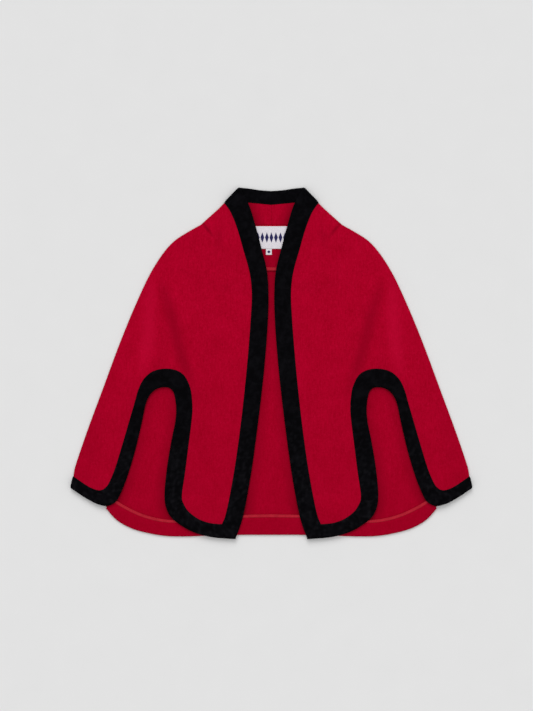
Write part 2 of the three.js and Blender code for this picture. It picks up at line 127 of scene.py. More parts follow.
# Each crease: rows of x, y, height and half width along its crest
FRONT_FOLDS: tuple[Table, ...] = (
    ((216, 176, 0, 24), (222, 140, 2.5, 28), (225, 90, 5, 32), (228, 40, 7, 36), (234, 0, 7.5, 40),
     (246, -35, 5, 40), (260, -80, 2, 38), (270, -120, 0, 36)),
    ((192, 168, 0, 26), (176, 125, 2, 32), (158, 75, 3, 38), (142, 25, 3.5, 42), (136, -30, 2, 42),
     (136, -90, 0, 42)),
)
FRONT_CREASES: tuple[Table, ...] = (
    ((97, 262, 0, 11), (98, 246, -1.3, 12), (101, 226, -0.9, 13), (105, 196, 0, 13)),
    ((131, 266, -1.2, 5), (123, 256, -1.4, 5), (110, 240, 0, 6)),
    ((136, 34, 0, 15), (129, -8, -0.9, 17), (127, -52, -0.9, 18), (133, -104, 0, 16)),
    ((298, 14, 0, 20), (306, -48, -0.7, 22), (318, -98, -0.8, 24), (332, -150, 0, 20)),
    ((108, -176, 0, 18), (114, -226, 0.9, 21), (119, -268, 0.6, 18), (118, -300, 0, 14)),
    ((78, 208, 0, 18), (92, 146, 0.8, 23), (97, 82, 0.6, 24), (90, 18, 0, 20)),
    ((60, 62, 0, 14), (66, -22, 0.7, 16), (75, -112, 0.6, 18), (84, -184, 0, 16)),
    ((192, 220, 0, 16), (172, 192, 0.7, 19), (149, 158, 0, 16)),
    ((333, -122, 0, 14), (328, -176, 1.0, 18), (320, -214, 0, 14)),
    ((284, 24, 0, 14), (262, 62, 0.7, 18), (246, 110, 0, 14)),
)
BACK_CREASES: tuple[Table, ...] = (
    ((6, 150, 0, 20), (10, 20, 0.8, 26), (4, -130, 1.0, 30), (8, -270, 0.4, 30), (8, -322, 0, 26)),
    ((-34, 40, 0, 16), (-38, -90, 0.7, 20), (-30, -210, 0.9, 22), (-34, -300, 0, 22)),
    ((96, 190, 0, 22), (122, 40, 1.1, 30), (138, -130, 1.3, 36), (146, -300, 0.4, 30)),
    ((-104, 170, 0, 22), (-126, 20, 1.0, 30), (-146, -150, 1.2, 34), (-150, -305, 0.3, 30)),
    ((196, 120, 0, 24), (216, -30, 1.0, 28), (232, -170, 1.2, 30), (238, -296, 0.3, 28)),
    ((-190, 130, 0, 24), (-212, -20, 1.1, 28), (-228, -160, 0.9, 30), (-240, -290, 0, 28)),
    ((262, 40, 0, 20), (292, -80, 0.9, 26), (306, -190, 0.6, 26), (306, -240, 0, 20)),
    ((-258, 50, 0, 20), (-288, -70, 0.8, 26), (-310, -200, 0, 26)),
    ((40, 250, 0, 16), (74, 216, 0.6, 20), (110, 190, 0, 18)),
    ((-44, 252, 0, 16), (-80, 214, 0.7, 20), (-118, 186, 0, 18)),
)

# Short puckers across the velvet, most of them in the bends of the slot
VELVET_PUCKERS: tuple[Table, ...] = (
    ((194, -212, 0, 4), (181, -218, 0.45, 5), (167, -219, 0, 4)),
    ((200, -231, 0, 4), (187, -236, -0.40, 5), (171, -235, 0, 4)),
    ((201, -254, 0, 4), (185, -251, 0.50, 6), (171, -248, 0, 4)),
    ((197, -278, 0, 5), (184, -268, -0.45, 5), (170, -261, 0, 4)),
    ((184, -299, 0, 5), (173, -287, 0.50, 6), (163, -273, 0, 4)),
    ((158, -316, 0, 5), (152, -304, -0.35, 5), (147, -289, 0, 4)),
    ((181, -82, 0, 4), (167, -78, 0.40, 5), (151, -74, 0, 4)),
    ((190, -50, 0, 4), (178, -38, -0.40, 5), (165, -25, 0, 4)),
    ((228, -58, 0, 4), (237, -50, 0.45, 5), (246, -38, 0, 4)),
    ((250, -131, 0, 4), (262, -128, -0.30, 5), (273, -124, 0, 4)),
    ((299, -266, 0, 4), (308, -253, 0.45, 5), (317, -239, 0, 4)),
    ((336, -265, 0, 4), (335, -252, -0.35, 5), (333, -239, 0, 4)),
    ((40, 295, 0, 5), (55, 288, 0.35, 6), (70, 281, 0, 4)),
    ((14, 199, 0, 5), (29, 195, -0.30, 6), (44, 190, 0, 4)),
    ((9, 40, 0, 5), (25, 42, 0.30, 6), (41, 44, 0, 4)),
    ((33, -170, 0, 5), (49, -166, -0.30, 6), (65, -163, 0, 4)),
    ((52, -280, 0, 5), (67, -276, 0.35, 6), (82, -273, 0, 4)),
)

# Middle and radius of the place round each neck dart that gets a finer mesh
DART = (121.0, 254.0, 20.0)


def smooth(value: np.ndarray, low: float, high: float) -> np.ndarray:
    """Rises smoothly from 0 at low to 1 at high.

    Args:
        value: The numbers to map.
        low: Where the rise starts.
        high: Where it ends.

    Returns:
        A number from 0 to 1 for each value.
    """
    part = np.clip((value - low) / (high - low), 0.0, 1.0)
    return part * part * (3.0 - 2.0 * part)


def curve_at(rows: Points, places: np.ndarray) -> Points:
    """Finds points on the smooth curve through the rows of a table.

    Args:
        rows: The points that the curve passes through.
        places: Places along it, counted in rows.

    Returns:
        A point for each place.
    """
    around = np.vstack([2 * rows[0] - rows[1], rows, 2 * rows[-1] - rows[-2]])
    index = np.minimum(places.astype(int), len(rows) - 2)
    part = (places - index)[:, None]
    before, start, end, after = (around[index + k] for k in range(4))
    pairs = ((before, start), (start, end), (end, after))
    gap_0, gap_1, gap_2 = (np.sqrt(np.linalg.norm(b - a, axis=1, keepdims=True)) for a, b in pairs)
    out = ((start - before) / gap_0 - (end - before) / (gap_0 + gap_1)) * gap_1 + (end - start)
    into = ((after - end) / gap_2 - (after - start) / (gap_1 + gap_2)) * gap_1 + (end - start)
    square = (3 * (end - start) - 2 * out - into) * part**2
    cube = (2 * (start - end) + out + into) * part**3
    return start + out * part + square + cube


def places_along(rows: Points, step: float) -> np.ndarray:
    """Spreads places evenly over each row's stretch of a curve.

    Args:
        rows: The points that the curve passes through.
        step: The longest distance between two places.

    Returns:
        The places, counted in rows.
    """
    lengths = np.linalg.norm(np.diff(rows, axis=0), axis=1)
    parts = [np.arange(n := max(1, math.ceil(length / step))) / n + i for i, length in enumerate(lengths)]
    return np.append(np.concatenate(parts), len(rows) - 1.0)


def line_through(table: Table, step: float) -> Points:
    """Samples the smooth curve through a table of points."""
    rows = np.array(table)
    return curve_at(rows, places_along(rows, step))


def mirror(points: Points) -> Points:
    """Turns points over to the other half of the cape, in reversed order."""
    return points[::-1] * (-1.0, 1.0)


def on_left(points: Points) -> Points:
    """Points of either half, moved to the left half."""
    return np.column_stack([np.abs(points[:, 0]), points[:, 1]])


@dataclass(frozen=True)
class Stations:
    """Places along a bound edge: its free edge, and the border of its binding."""

    edge: Points
    border: Points

    @classmethod
    def along(cls, table: Table, step: float) -> "Stations":
        """Samples a table of edge and border points.

        Args:
            table: Rows of x and y on the edge, then x and y on the border.
            step: The longest distance between two stations.

        Returns:
            The stations.
        """
        rows = np.array(table)
        places = places_along(rows[:, :2], step)
        return cls(curve_at(rows[:, :2], places), curve_at(rows[:, 2:], places))

    def mirrored(self) -> "Stations":
        """The same edge on the other half."""
        return Stations(mirror(self.edge), mirror(self.border))

    def across(self) -> "Stations":
        """The edge on both halves, from right to left, for a table that starts at the centre."""
        other = self.mirrored()
        return Stations(np.vstack([other.edge, self.edge[1:]]), np.vstack([other.border, self.border[1:]]))

    def part(self, first: int, last: int | None) -> "Stations":
        """The stations from first up to last."""
        return Stations(self.edge[first:last], self.border[first:last])

    def width(self) -> np.ndarray:
        """Distance from edge to border at each station."""
        return np.linalg.norm(self.border - self.edge, axis=1)

    def inward(self, distance: np.ndarray | float) -> Points:
        """Points that lie a distance in from the edge."""
        return self.edge + (self.border - self.edge) / self.width()[:, None] * np.reshape(distance, (-1, 1))

    def area(self) -> Points:
        """The band's outline."""
        return np.vstack([self.edge, self.border[::-1]])


def distance_to(points: Points, line: Points, closed: bool = False) -> np.ndarray:
    """Measures how far points are from a row of joined points.

    Args:
        points: The points to measure.
        line: The row of points.
        closed: Whether the last is joined to the first.

    Returns:
        A distance for each point.
    """
    starts = line if closed else line[:-1]
    ends = np.roll(line, -1, axis=0) if closed else line[1:]
    nearest = np.full(len(points), np.inf)
    for start, end in zip(starts, ends):
        run = end - start
        away = points - start
        along = np.clip(away @ run / max(run @ run, 1e-9), 0.0, 1.0)
        nearest = np.minimum(nearest, ((away - along[:, None] * run) ** 2).sum(axis=1))
    return np.sqrt(nearest)


def is_inside(points: Points, outline: Points) -> np.ndarray:
    """Tells which points an outline holds.

    Args:
        points: The points to test.
        outline: The outline's corners.

    Returns:
        True for each point that is inside.
    """
    inside = np.zeros(len(points), bool)
    for (ax, ay), (bx, by) in zip(outline, np.roll(outline, -1, axis=0)):
        if ay == by:
            continue
        spans = (ay > points[:, 1]) != (by > points[:, 1])
        inside ^= spans & (points[:, 0] < (bx - ax) * (points[:, 1] - ay) / (by - ay) + ax)
    return inside


def distance_to_area(points: Points, outline: Points) -> np.ndarray:
    """Measures how far points are outside an outline, 0 inside it."""
    return np.where(is_inside(points, outline), 0.0, distance_to(points, outline, closed=True))


def crease_height(points: Points, creases: Iterable[Table]) -> np.ndarray:
    """Adds up soft ridges and troughs.

    Args:
        points: Where to measure.
        creases: Tables of x, y, height and half width along each crest.

    Returns:
        The height at each point, negative in a trough.
    """
    total = np.zeros(len(points))
    for rows in creases:
        places = places_along(np.array(rows)[:, :2], 12.0)
        crest = curve_at(np.array(rows, float), places)
        nearest = np.full(len(points), np.inf)
        shape = np.zeros(len(points))
        for start, end in zip(crest[:-1], crest[1:]):
            run = end[:2] - start[:2]
            away = points - start[:2]
            along = np.clip(away @ run / (run @ run), 0.0, 1.0)
            distance = np.sqrt(((away - along[:, None] * run) ** 2).sum(axis=1))
            height = start[2] + (end[2] - start[2]) * along
            half_width = start[3] + (end[3] - start[3]) * along
            value = height * (1.0 - smooth(distance / half_width, 0.0, 1.0))
            shape = np.where(distance < nearest, value, shape)
            nearest = np.minimum(nearest, distance)
        total += shape
    return total


def waves(points: Points, size: float, seed: float) -> np.ndarray:
    """Soft uneven waves from -1 to 1, of about the given size."""
    return np.array([noise.noise(Vector((x / size, y / size, seed))) for x, y in points])


def most(values: Sequence[np.ndarray]) -> np.ndarray:
    """The greatest of several heights, rounded where they cross."""
    return (np.sum([np.maximum(v, 0.0) ** 4 for v in values], axis=0)) ** 0.25


@dataclass
class Plan:
    """The cape's cut pieces on the surface, and how high each layer lies."""

    step: float = 4.0
    area_step: float = 11.0
    lift_margin: float = 16.0
    lift_fade: float = 30.0
    seam_roll: float = 16.0
    seam_near: float = 2.0
    seam_clear: float = 22.0
    rim_roll: float = 6.0
    crease_clear: float = 26.0
    front_wave: float = 0.45
    front_wave_size: float = 70.0
    back_seam_flat: float = 14.0
    back_wave: float = 0.25
    back_wave_size: float = 55.0
    neck_seam_y: float = 262.8
    facing_half_width: float = 96.0
    facing_lower_y: float = 181.5
    facing_tape: float = 5.5
    label_half_width: float = 34.0
    label_top_y: float = 260.3
    label_lower_y: float = 217.5
    tag_left_x: float = -10.4
    tag_right_x: float = 0.8
    tag_length: float = 11.5
    hem_tape: float = 5.0
    front: Stations = field(init=False)
    slot: Stations = field(init=False)
    cuff: Stations = field(init=False)
    collar: Stations = field(init=False)
    hem: Stations = field(init=False)
    shoulder: Points = field(init=False)
    collar_side: Points = field(init=False)
    bound_areas: list[Points] = field(init=False)
    cuff_area: Points = field(init=False)
    collar_area: Points = field(init=False)
    underlays: list[tuple[Points, float]] = field(init=False)

    def __post_init__(self) -> None:
        """Samples the edges, and the areas that lift what lies over them."""
        bands = (FRONT_BAND, SLOT_BAND, CUFF_BAND, COLLAR_BAND, HEM_BAND)
        fine = (Stations.along(band, self.step) for band in bands)
        self.front, self.slot, self.cuff, self.collar, self.hem = fine
        self.shoulder = line_through(SHOULDER_SEAM, self.step)
        self.collar_side = line_through(COLLAR_SIDE, self.step)
        coarse = [Stations.along(band, self.area_step) for band in bands]
        self.bound_areas = [coarse[0].area(), coarse[1].area()]
        self.cuff_area = coarse[2].area()
        self.collar_area = coarse[3].across().area()
        hem = coarse[4]
        hem_area = np.vstack([hem.edge, hem.inward(hem.width() + self.hem_tape)[::-1]])
        tape_y, tag_y = self.facing_lower_y - self.facing_tape, self.label_lower_y - self.tag_length
        facing = self.rectangle(self.facing_half_width, tape_y, self.neck_seam_y)
        label = self.rectangle(self.label_half_width, tag_y, self.label_top_y)
        self.underlays = [
            (self.collar_area, VELVET_THICK), (self.cuff_area, VELVET_THICK), (facing, TAPE_THICK),
            (label, WOOL_THICK + GAP + LABEL_THICK), (hem_area, TAPE_THICK),
        ]

    @staticmethod
    def rectangle(half_width: float, lower: float, upper: float) -> Points:
        """An upright rectangle about the centre line."""
        corners = [(-half_width, lower), (half_width, lower), (half_width, upper), (-half_width, upper)]
        return np.array(corners)

    def cover(self, points: Points, area: Points) -> np.ndarray:
        """1 on an area and a little round it, then falling smoothly to 0."""
        return 1.0 - smooth(distance_to_area(points, area) - self.lift_margin, 0.0, self.lift_fade)

    def back_bottom(self, points: Points) -> np.ndarray:
        """Underside of the back, lifted where binding folds under it and by its creases.

        Args:
            points: Where to measure.

        Returns:
            The height at each point.
        """
        half = on_left(points)
        lift = BINDING_LIFT * most([self.cover(half, self.collar_area), self.cover(half, self.cuff_area)])
        uneven = self.back_wave * (1.0 + waves(points, self.back_wave_size, seed=2.0))
        relief = crease_height(points, BACK_CREASES) + uneven
        return lift + relief * smooth(self.seam_distance(half), 0.0, self.back_seam_flat)

    def seam_distance(self, half: Points) -> np.ndarray:
        """How far points of the left half are in from the side seam and the collar's side."""
        return np.minimum(distance_to(half, self.shoulder), distance_to(half, self.collar_side))

    def on_back(self, points: Points) -> np.ndarray:
        """Underside of what lies on the back."""
        return self.back_bottom(points) + WOOL_THICK + GAP

    def on_facing(self, points: Points) -> np.ndarray:
        """Underside of what lies on the neck facing."""
        return self.on_back(points) + WOOL_THICK + GAP

    def front_bottom(self, points: Points, rolled: bool = False) -> np.ndarray:
        """Underside of a front.

        Args:
            points: Where to measure.
            rolled: Whether the rim comes down to the back all along the side seam.

        Returns:
            The height at each point.
        """
        half = on_left(points)
        seam = self.seam_distance(half)
        bound = np.min([distance_to_area(half, area) for area in self.bound_areas], axis=0)
        over_binding = 1.0 - smooth(bound, self.seam_near, self.seam_clear)
        if rolled:
            over_binding = over_binding * smooth(seam, 0.0, self.rim_roll)
        openness = np.maximum(smooth(seam, 0.0, self.seam_roll), over_binding)
        under = most([(thick + GAP) * self.cover(half, area) for area, thick in self.underlays])
        binding = most([self.cover(half, area) for area in self.bound_areas])
        folds = crease_height(half, FRONT_FOLDS)
        uneven = self.front_wave * waves(points, self.front_wave_size, seed=5.0)
        relief = crease_height(half, FRONT_CREASES) + uneven
        lift = (under + BINDING_LIFT * binding) * openness + folds
        off_seam = smooth(seam, self.seam_near, self.crease_clear)
        return self.on_back(points) + np.maximum(lift + relief * off_seam, 0.0)

    def front_rolled(self, points: Points) -> np.ndarray:
        """Underside of a front whose rim comes down to the back all along the side seam."""
        return self.front_bottom(points, rolled=True)


# Painted light and shade on the fronts: a painted highlight along a crest, painted shade in a trough and
# along a dart
FRONT_PAINTED_SHADING: tuple[Table, ...] = (
    ((226, 178, 0, 18), (230, 140, 0.6, 22), (232, 90, 0.9, 24), (236, 30, 1.0, 26), (246, -14, 0.6, 24)),
    ((214, 168, 0, 16), (206, 140, -0.6, 18), (190, 90, -1.0, 20), (178, 40, -1.0, 20), (168, 4, -1.1, 20),
     (156, -30, -0.6, 18), (142, -70, -0.2, 16)),
    ((322, -60, 0, 34), (340, -140, -0.25, 38), (352, -210, -0.25, 32)),
    ((130, 266, -1.5, 4), (122, 255, -1.7, 5), (110, 240, -0.5, 5)),
    ((97, 258, 0, 12), (98, 244, -0.5, 12), (102, 220, -0.35, 12), (105, 200, 0, 12)),
)


@dataclass(frozen=True)
class PaintedShading:
    """Painted light and shade on a cloth's upper face, from 1 for a painted highlight to -2 for painted
    shade.
    """

    fall_depth: float = 0.55
    fall_top_y: float = 120.0
    fall_length: float = 410.0
    inside_depth: float = 0.12
    # Painted shade on the inside of the back, and the painted shadow beside its bindings
    contact_shade_depth: float = 0.55
    contact_shade_near: float = 4.0
    contact_shade_clear: float = 24.0
    chest_depth: float = 0.5
    chest_y: Range = (10.0, 90.0)
    low_depth: float = 0.35
    low_y: Range = (150.0, 290.0)
    hem_depth: float = 0.86
    # Painted sheen in patches on the velvet
    patch_size: float = 7.0
    patch_edge: float = 0.55
    patch_least: float = 0.3
    patch_y: Range = (80.0, 220.0)

    def shade_to_hem(self, points: Points) -> np.ndarray:
        """Painted shade: how much darker the cloth is made towards the hem, where it lies away from the
        light.
        """
        return -self.fall_depth * np.clip((self.fall_top_y - points[:, 1]) / self.fall_length, 0.0, 1.0)

    def front(self, points: Points) -> np.ndarray:
        """Painted light and shade on the outside of the fronts."""
        return crease_height(on_left(points), FRONT_PAINTED_SHADING) + self.shade_to_hem(points)

    def inside(self, plan: Plan) -> Heights:
        """Painted shade on the inside of the back, a little over all of it and more beside the bindings that
        lie on it, where their shadow falls.

        Args:
            plan: The cut pieces, with the bindings' areas.

        Returns:
            A function that gives the painted shade at points.
        """

        def value(points: Points) -> np.ndarray:
            """Gives the painted shade.

            Args:
                points: Where to measure.

            Returns:
                The painted shade at each point.
            """
            half = on_left(points)
            away = np.min([distance_to_area(half, area) for area in plan.bound_areas], axis=0)
            # Painted shadow of the bindings, deeper towards the chest and low down
            depth = self.contact_shade_depth + self.chest_depth * smooth(points[:, 1], *self.chest_y)
            depth = depth + self.low_depth * smooth(-points[:, 1], *self.low_y)
            beside = 1.0 - smooth(away, self.contact_shade_near, self.contact_shade_clear)
            return self.shade_to_hem(points) - self.inside_depth - depth * beside

        return value

    def crushed_pile_and_sheen(self, points: Points) -> np.ndarray:
        """On the velvet, painted sheen in patches where the pile is flattened, most of them low on the
        slots.
        """
        patch = smooth(waves(points, self.patch_size, seed=31.0), 0.0, self.patch_edge)
        return patch * (self.patch_least + (1.0 - self.patch_least) * smooth(-points[:, 1], *self.patch_y))

    def turned_up(self, points: Points) -> np.ndarray:
        """Painted shade, even over all of the turned-up hem."""
        return np.full(len(points), -self.hem_depth)


class Shader:
    """A material's node tree, put together node by node round a Principled BSDF."""

    def __init__(self, name: str) -> None:
        """Starts the tree.

        Args:
            name: The material's name.
        """
        self.material = bpy.data.materials.new(name)
        self.material.use_nodes = True
        self.tree = self.material.node_tree
        self.surface = self.tree.nodes["Principled BSDF"]
        self.coordinates = self.node("ShaderNodeTexCoord").outputs["Object"]

    def node(self, kind: str, **settings: object) -> bpy.types.Node:
        """Adds a node and sets its properties.

        Args:
            kind: The node's type.
            settings: Properties to set, by name.

        Returns:
            The node.
        """
        made = self.tree.nodes.new(kind)
        for name, value in settings.items():
            setattr(made, name, value)
        return made

    def join(self, source: Socket, target: Socket) -> None:
        """Joins an output to an input."""
        self.tree.links.new(source, target)

    def place(self, scale: tuple[float, float, float], turn: float = 0.0) -> Socket:
        """Object coordinates, stretched and turned about Z.

        Args:
            scale: How much each axis is stretched.
            turn: The turn in radians.

        Returns:
            The coordinates.
        """
        mapping = self.node("ShaderNodeMapping")
        mapping.inputs["Scale"].default_value = scale
        mapping.inputs["Rotation"].default_value = (0.0, 0.0, turn)
        self.join(self.coordinates, mapping.inputs["Vector"])
        return mapping.outputs["Vector"]

    def noise(
        self, size: float, detail: float = 2.0, rough: float = 0.5, swirl: float = 0.0,
        place: Socket | None = None,
    ) -> Socket:
        """Noise whose lumps are about size millimetres across.

        Args:
            size: Size of the lumps in millimetres.
            detail: How many finer layers it has.
            rough: How strong the finer layers are.
            swirl: How far it is drawn out of shape.
            place: Coordinates to use in place of the object's own.

        Returns:
            The noise's value, about 0.5 on average.
        """
        made = self.node("ShaderNodeTexNoise")
        made.inputs["Scale"].default_value = 1.0 / (size * MM)
        made.inputs["Detail"].default_value = detail
        made.inputs["Roughness"].default_value = rough
        made.inputs["Distortion"].default_value = swirl
        self.join(place or self.coordinates, made.inputs["Vector"])
        return made.outputs[0]

    def spread(self, value: Socket, source: Range, to: Range) -> Socket:
        """Maps a range of values onto another.

        Args:
            value: The values.
            source: Their range.
            to: The range to map it onto, also kept to as a limit.

        Returns:
            The mapped values.
        """
        made = self.node("ShaderNodeMapRange")
        self.join(value, made.inputs["Value"])
        made.inputs["From Min"].default_value, made.inputs["From Max"].default_value = source
        made.inputs["To Min"].default_value, made.inputs["To Max"].default_value = to
        return made.outputs["Result"]

    def sum(self, *parts: tuple[Socket, float]) -> Socket:
        """Adds up values, each times its weight.

        Args:
            parts: Values with their weights.

        Returns:
            The sum.
        """
        total = None
        for value, weight in parts:
            made = self.node("ShaderNodeMath", operation="MULTIPLY_ADD")
            self.join(value, made.inputs[0])
            made.inputs[1].default_value = weight
            made.inputs[2].default_value = 0.0
            if total is not None:
                self.join(total, made.inputs[2])
            total = made.outputs[0]
        return total

    def blend(self, factor: Socket, low: Colour, high: Colour) -> Socket:
        """A colour between two.

        Args:
            factor: How much of the second it has, from 0 to 1.
            low: The first colour.
            high: The second colour.

        Returns:
            The colour.
        """
        made = self.node("ShaderNodeMix", data_type="RGBA")
        self.join(factor, made.inputs[0])
        made.inputs[6].default_value = (*low, 1.0)
        made.inputs[7].default_value = (*high, 1.0)
        return made.outputs[2]

    def over(self, factor: Socket, low: Socket, high: Colour) -> Socket:
        """Lays a colour over another.

        Args:
            factor: How much it covers, from 0 to 1.
            low: The colour below.
            high: The colour that is laid over it.

        Returns:
            The colour.
        """
        made = self.node("ShaderNodeMix", data_type="RGBA")
        self.join(factor, made.inputs[0])
        self.join(low, made.inputs[6])
        made.inputs[7].default_value = (*high, 1.0)
        return made.outputs[2]

    def bump(self, height: Socket, depth: float, strength: float) -> None:
        """Raises the surface.

        Args:
            height: The height, from 0 to 1.
            depth: How many millimetres a height of 1 is.
            strength: How much of it shows.
        """
        made = self.node("ShaderNodeBump")
        made.inputs["Distance"].default_value = depth * MM
        made.inputs["Strength"].default_value = strength
        self.join(height, made.inputs["Height"])
        self.join(made.outputs["Normal"], self.surface.inputs["Normal"])

    def set(self, **values: object) -> None:
        """Sets the surface's own sockets, with _ for a space in their names."""
        for name, value in values.items():
            self.surface.inputs[name.replace("_", " ")].default_value = value

    def base(self, colour: Socket) -> None:
        """Gives the surface its colour."""
        self.join(colour, self.surface.inputs["Base Color"])


@dataclass(frozen=True)
class Wool:
    """Boiled wool: felted, matt, with a short curled fuzz and slightly uneven dye, and painted light and
    shade from an attribute.
    """

    name: str = "boiled_wool"
    dark: Colour = (0.290, 0.0002, 0.0100)
    light: Colour = (0.442, 0.0012, 0.0235)
    # Painted highlight colour
    painted_highlight: Colour = (0.500, 0.0035, 0.0345)
    flecked: Colour = (0.500, 0.0045, 0.0400)
    # Painted shade colour
    painted_shade: Colour = (0.220, 0.0005, 0.0100)
    mottle_mm: float = 40.0
    pebble_mm: float = 4.2
    curl_mm: float = 1.7
    streak_mm: float = 2.4
    fleck_mm: float = 2.0

    def make(self) -> bpy.types.Material:
        """Builds the material.

        Returns:
            The material.
        """
        s = Shader(self.name)
        mottle = s.noise(self.mottle_mm, 3.0)
        pebble = s.noise(self.pebble_mm, 3.0, 0.6, 0.6)
        curl = s.noise(self.curl_mm, 3.0, 0.6, 1.6)
        fibre = s.noise(1.0, 2.0, 0.6, 0.8, s.place((0.9, 0.16, 0.9), 0.35))
        streak = s.noise(self.streak_mm, 2.0, 0.5, 0.4, s.place((1.0, 0.16, 1.0)))
        tone = s.sum((mottle, 0.16), (pebble, 0.28), (curl, 0.18), (fibre, 0.14), (streak, 0.24))
        colour = s.blend(s.spread(tone, (0.36, 0.64), (0.0, 1.0)), self.dark, self.light)
        fleck = s.noise(self.fleck_mm, 1.0, 0.5, 0.3, s.place((1.0, 0.45, 1.0)))
        colour = s.over(s.spread(fleck, (0.58, 0.76), (0.0, 0.35)), colour, self.flecked)
        # Painted highlight on crests and painted shade in troughs, along darts, beside the bindings and
        # towards the hem, from the mesh's attribute
        painted_shading = s.node("ShaderNodeAttribute", attribute_name="painted_shading").outputs["Fac"]
        colour = s.over(s.spread(painted_shading, (0.0, 1.0), (0.0, 0.42)), colour, self.painted_highlight)
        colour = s.over(s.spread(painted_shading, (0.0, -2.0), (0.0, 1.0)), colour, self.painted_shade)
        s.base(colour)
        s.bump(s.sum((pebble, 0.5), (curl, 0.35), (fibre, 0.25)), 0.9, 0.55)
        s.set(Roughness=0.95, Specular_IOR_Level=0.0, Sheen_Weight=0.10, Sheen_Roughness=0.5,
              Sheen_Tint=(1.0, 0.04, 0.20, 1.0))
        return s.material


@dataclass(frozen=True)
class Velvet:
    """Black cotton velvet: short pile that drinks light, flattened in places, with painted sheen in patches.
    """

    name: str = "black_velvet"
    deep: Colour = (0.0021, 0.0020, 0.0025)
    crushed_pile_and_sheen: Colour = (0.0050, 0.0048, 0.0061)
    painted_sheen: Colour = (0.0125, 0.0120, 0.0148)
    patch_mm: float = 14.0
    pile_mm: float = 1.3

    def make(self) -> bpy.types.Material:
        """Builds the material.

        Returns:
            The material.
        """
        s = Shader(self.name)
        patch = s.noise(self.patch_mm, 3.0, 0.55, 0.5)
        pile = s.noise(self.pile_mm, 2.0, 0.6)
        tone = s.sum((patch, 0.75), (pile, 0.25))
        colour = s.blend(s.spread(tone, (0.44, 0.76), (0.0, 1.0)), self.deep, self.crushed_pile_and_sheen)
        # Painted sheen from the mesh's attribute, on patches of flattened pile
        painted_shading = s.node("ShaderNodeAttribute", attribute_name="painted_shading").outputs["Fac"]
        s.base(s.over(s.spread(painted_shading, (0.0, 1.0), (0.0, 0.32)), colour, self.painted_sheen))
        s.bump(s.sum((patch, 0.4), (pile, 0.6)), 0.5, 0.5)
        s.set(Roughness=1.0, Specular_IOR_Level=0.0, Sheen_Weight=0.07, Sheen_Roughness=0.3,
              Sheen_Tint=(0.62, 0.60, 0.68, 1.0))
        return s.material


@dataclass(frozen=True)
class Tape:
    """Light red satin bias tape: fine slanting ribs with a soft shine."""

    name: str = "satin_tape"
    low: Colour = (0.320, 0.003, 0.014)
    high: Colour = (0.480, 0.010, 0.028)
    rib_mm: float = 0.8

    def make(self) -> bpy.types.Material:
        """Builds the material.

        Returns:
            The material.
        """
        s = Shader(self.name)
        ribs = s.node("ShaderNodeTexWave", wave_type="BANDS", bands_direction="X")
        ribs.inputs["Scale"].default_value = 1.0 / (self.rib_mm * MM) / math.tau * 2.0
        ribs.inputs["Distortion"].default_value = 0.6
        s.join(s.place((1.0, 1.0, 1.0), math.radians(45)), ribs.inputs["Vector"])
        uneven = s.noise(9.0, 2.0)
        tone = s.sum((ribs.outputs["Fac"], 0.35), (uneven, 0.65))
        s.base(s.blend(s.spread(tone, (0.25, 0.75), (0.0, 1.0)), self.low, self.high))
        s.bump(ribs.outputs["Fac"], 0.12, 0.5)
        s.set(Roughness=0.55, Specular_IOR_Level=0.12)
        return s.material


@dataclass(frozen=True)
class Label:
    """White woven label with a band of navy lozenges."""

    name: str = "woven_label"
    ground_low: Colour = (0.60, 0.56, 0.60)
    ground_high: Colour = (0.76, 0.73, 0.77)
    navy: Colour = (0.010, 0.008, 0.075)
    pitch_mm: float = 8.6
    half_height_mm: float = 12.0
    middle_x_mm: float = 0.0
    middle_y_mm: float = 238.9
    stroke: float = 0.80

    def make(self) -> bpy.types.Material:
        """Builds the material.

        Returns:
            The material.
        """
        s = Shader(self.name)
        weave = s.noise(0.7, 2.0, 0.5, 0.0, s.place((1.0, 0.35, 1.0)))
        ground = s.blend(s.spread(weave, (0.35, 0.65), (0.0, 1.0)), self.ground_low, self.ground_high)
        half_pitch, half_height = self.pitch_mm * MM / 2, self.half_height_mm * MM
        axes = s.node("ShaderNodeSeparateXYZ")
        s.join(s.coordinates, axes.inputs[0])
        along = s.node("ShaderNodeMath", operation="SUBTRACT")
        s.join(axes.outputs["X"], along.inputs[0])
        along.inputs[1].default_value = self.middle_x_mm * MM
        across = s.node("ShaderNodeMath", operation="PINGPONG")
        s.join(along.outputs[0], across.inputs[0])
        across.inputs[1].default_value = half_pitch
        up = s.node("ShaderNodeMath", operation="SUBTRACT")
        s.join(axes.outputs["Y"], up.inputs[0])
        up.inputs[1].default_value = self.middle_y_mm * MM
        size = s.node("ShaderNodeMath", operation="ABSOLUTE")
        s.join(up.outputs[0], size.inputs[0])
        shape = s.sum((across.outputs[0], 1.0 / half_pitch), (size.outputs[0], 1.0 / half_height))
        inside = s.spread(shape, (self.stroke, self.stroke + 0.08), (1.0, 0.0))
        s.base(s.over(inside, ground, self.navy))
        s.bump(weave, 0.15, 0.5)
        s.set(Roughness=0.7, Specular_IOR_Level=0.25)
        return s.material


@dataclass(frozen=True)
class Thread:
    """Twisted sewing thread."""

    name: str
    colour: Colour

    def make(self) -> bpy.types.Material:
        """Builds the material.

        Returns:
            The material.
        """
        s = Shader(self.name)
        twist = s.noise(0.4, 1.0)
        dark = tuple(0.7 * c for c in self.colour)
        s.base(s.blend(s.spread(twist, (0.3, 0.7), (0.0, 1.0)), dark, self.colour))
        s.set(Roughness=0.8, Specular_IOR_Level=0.15)
        return s.material


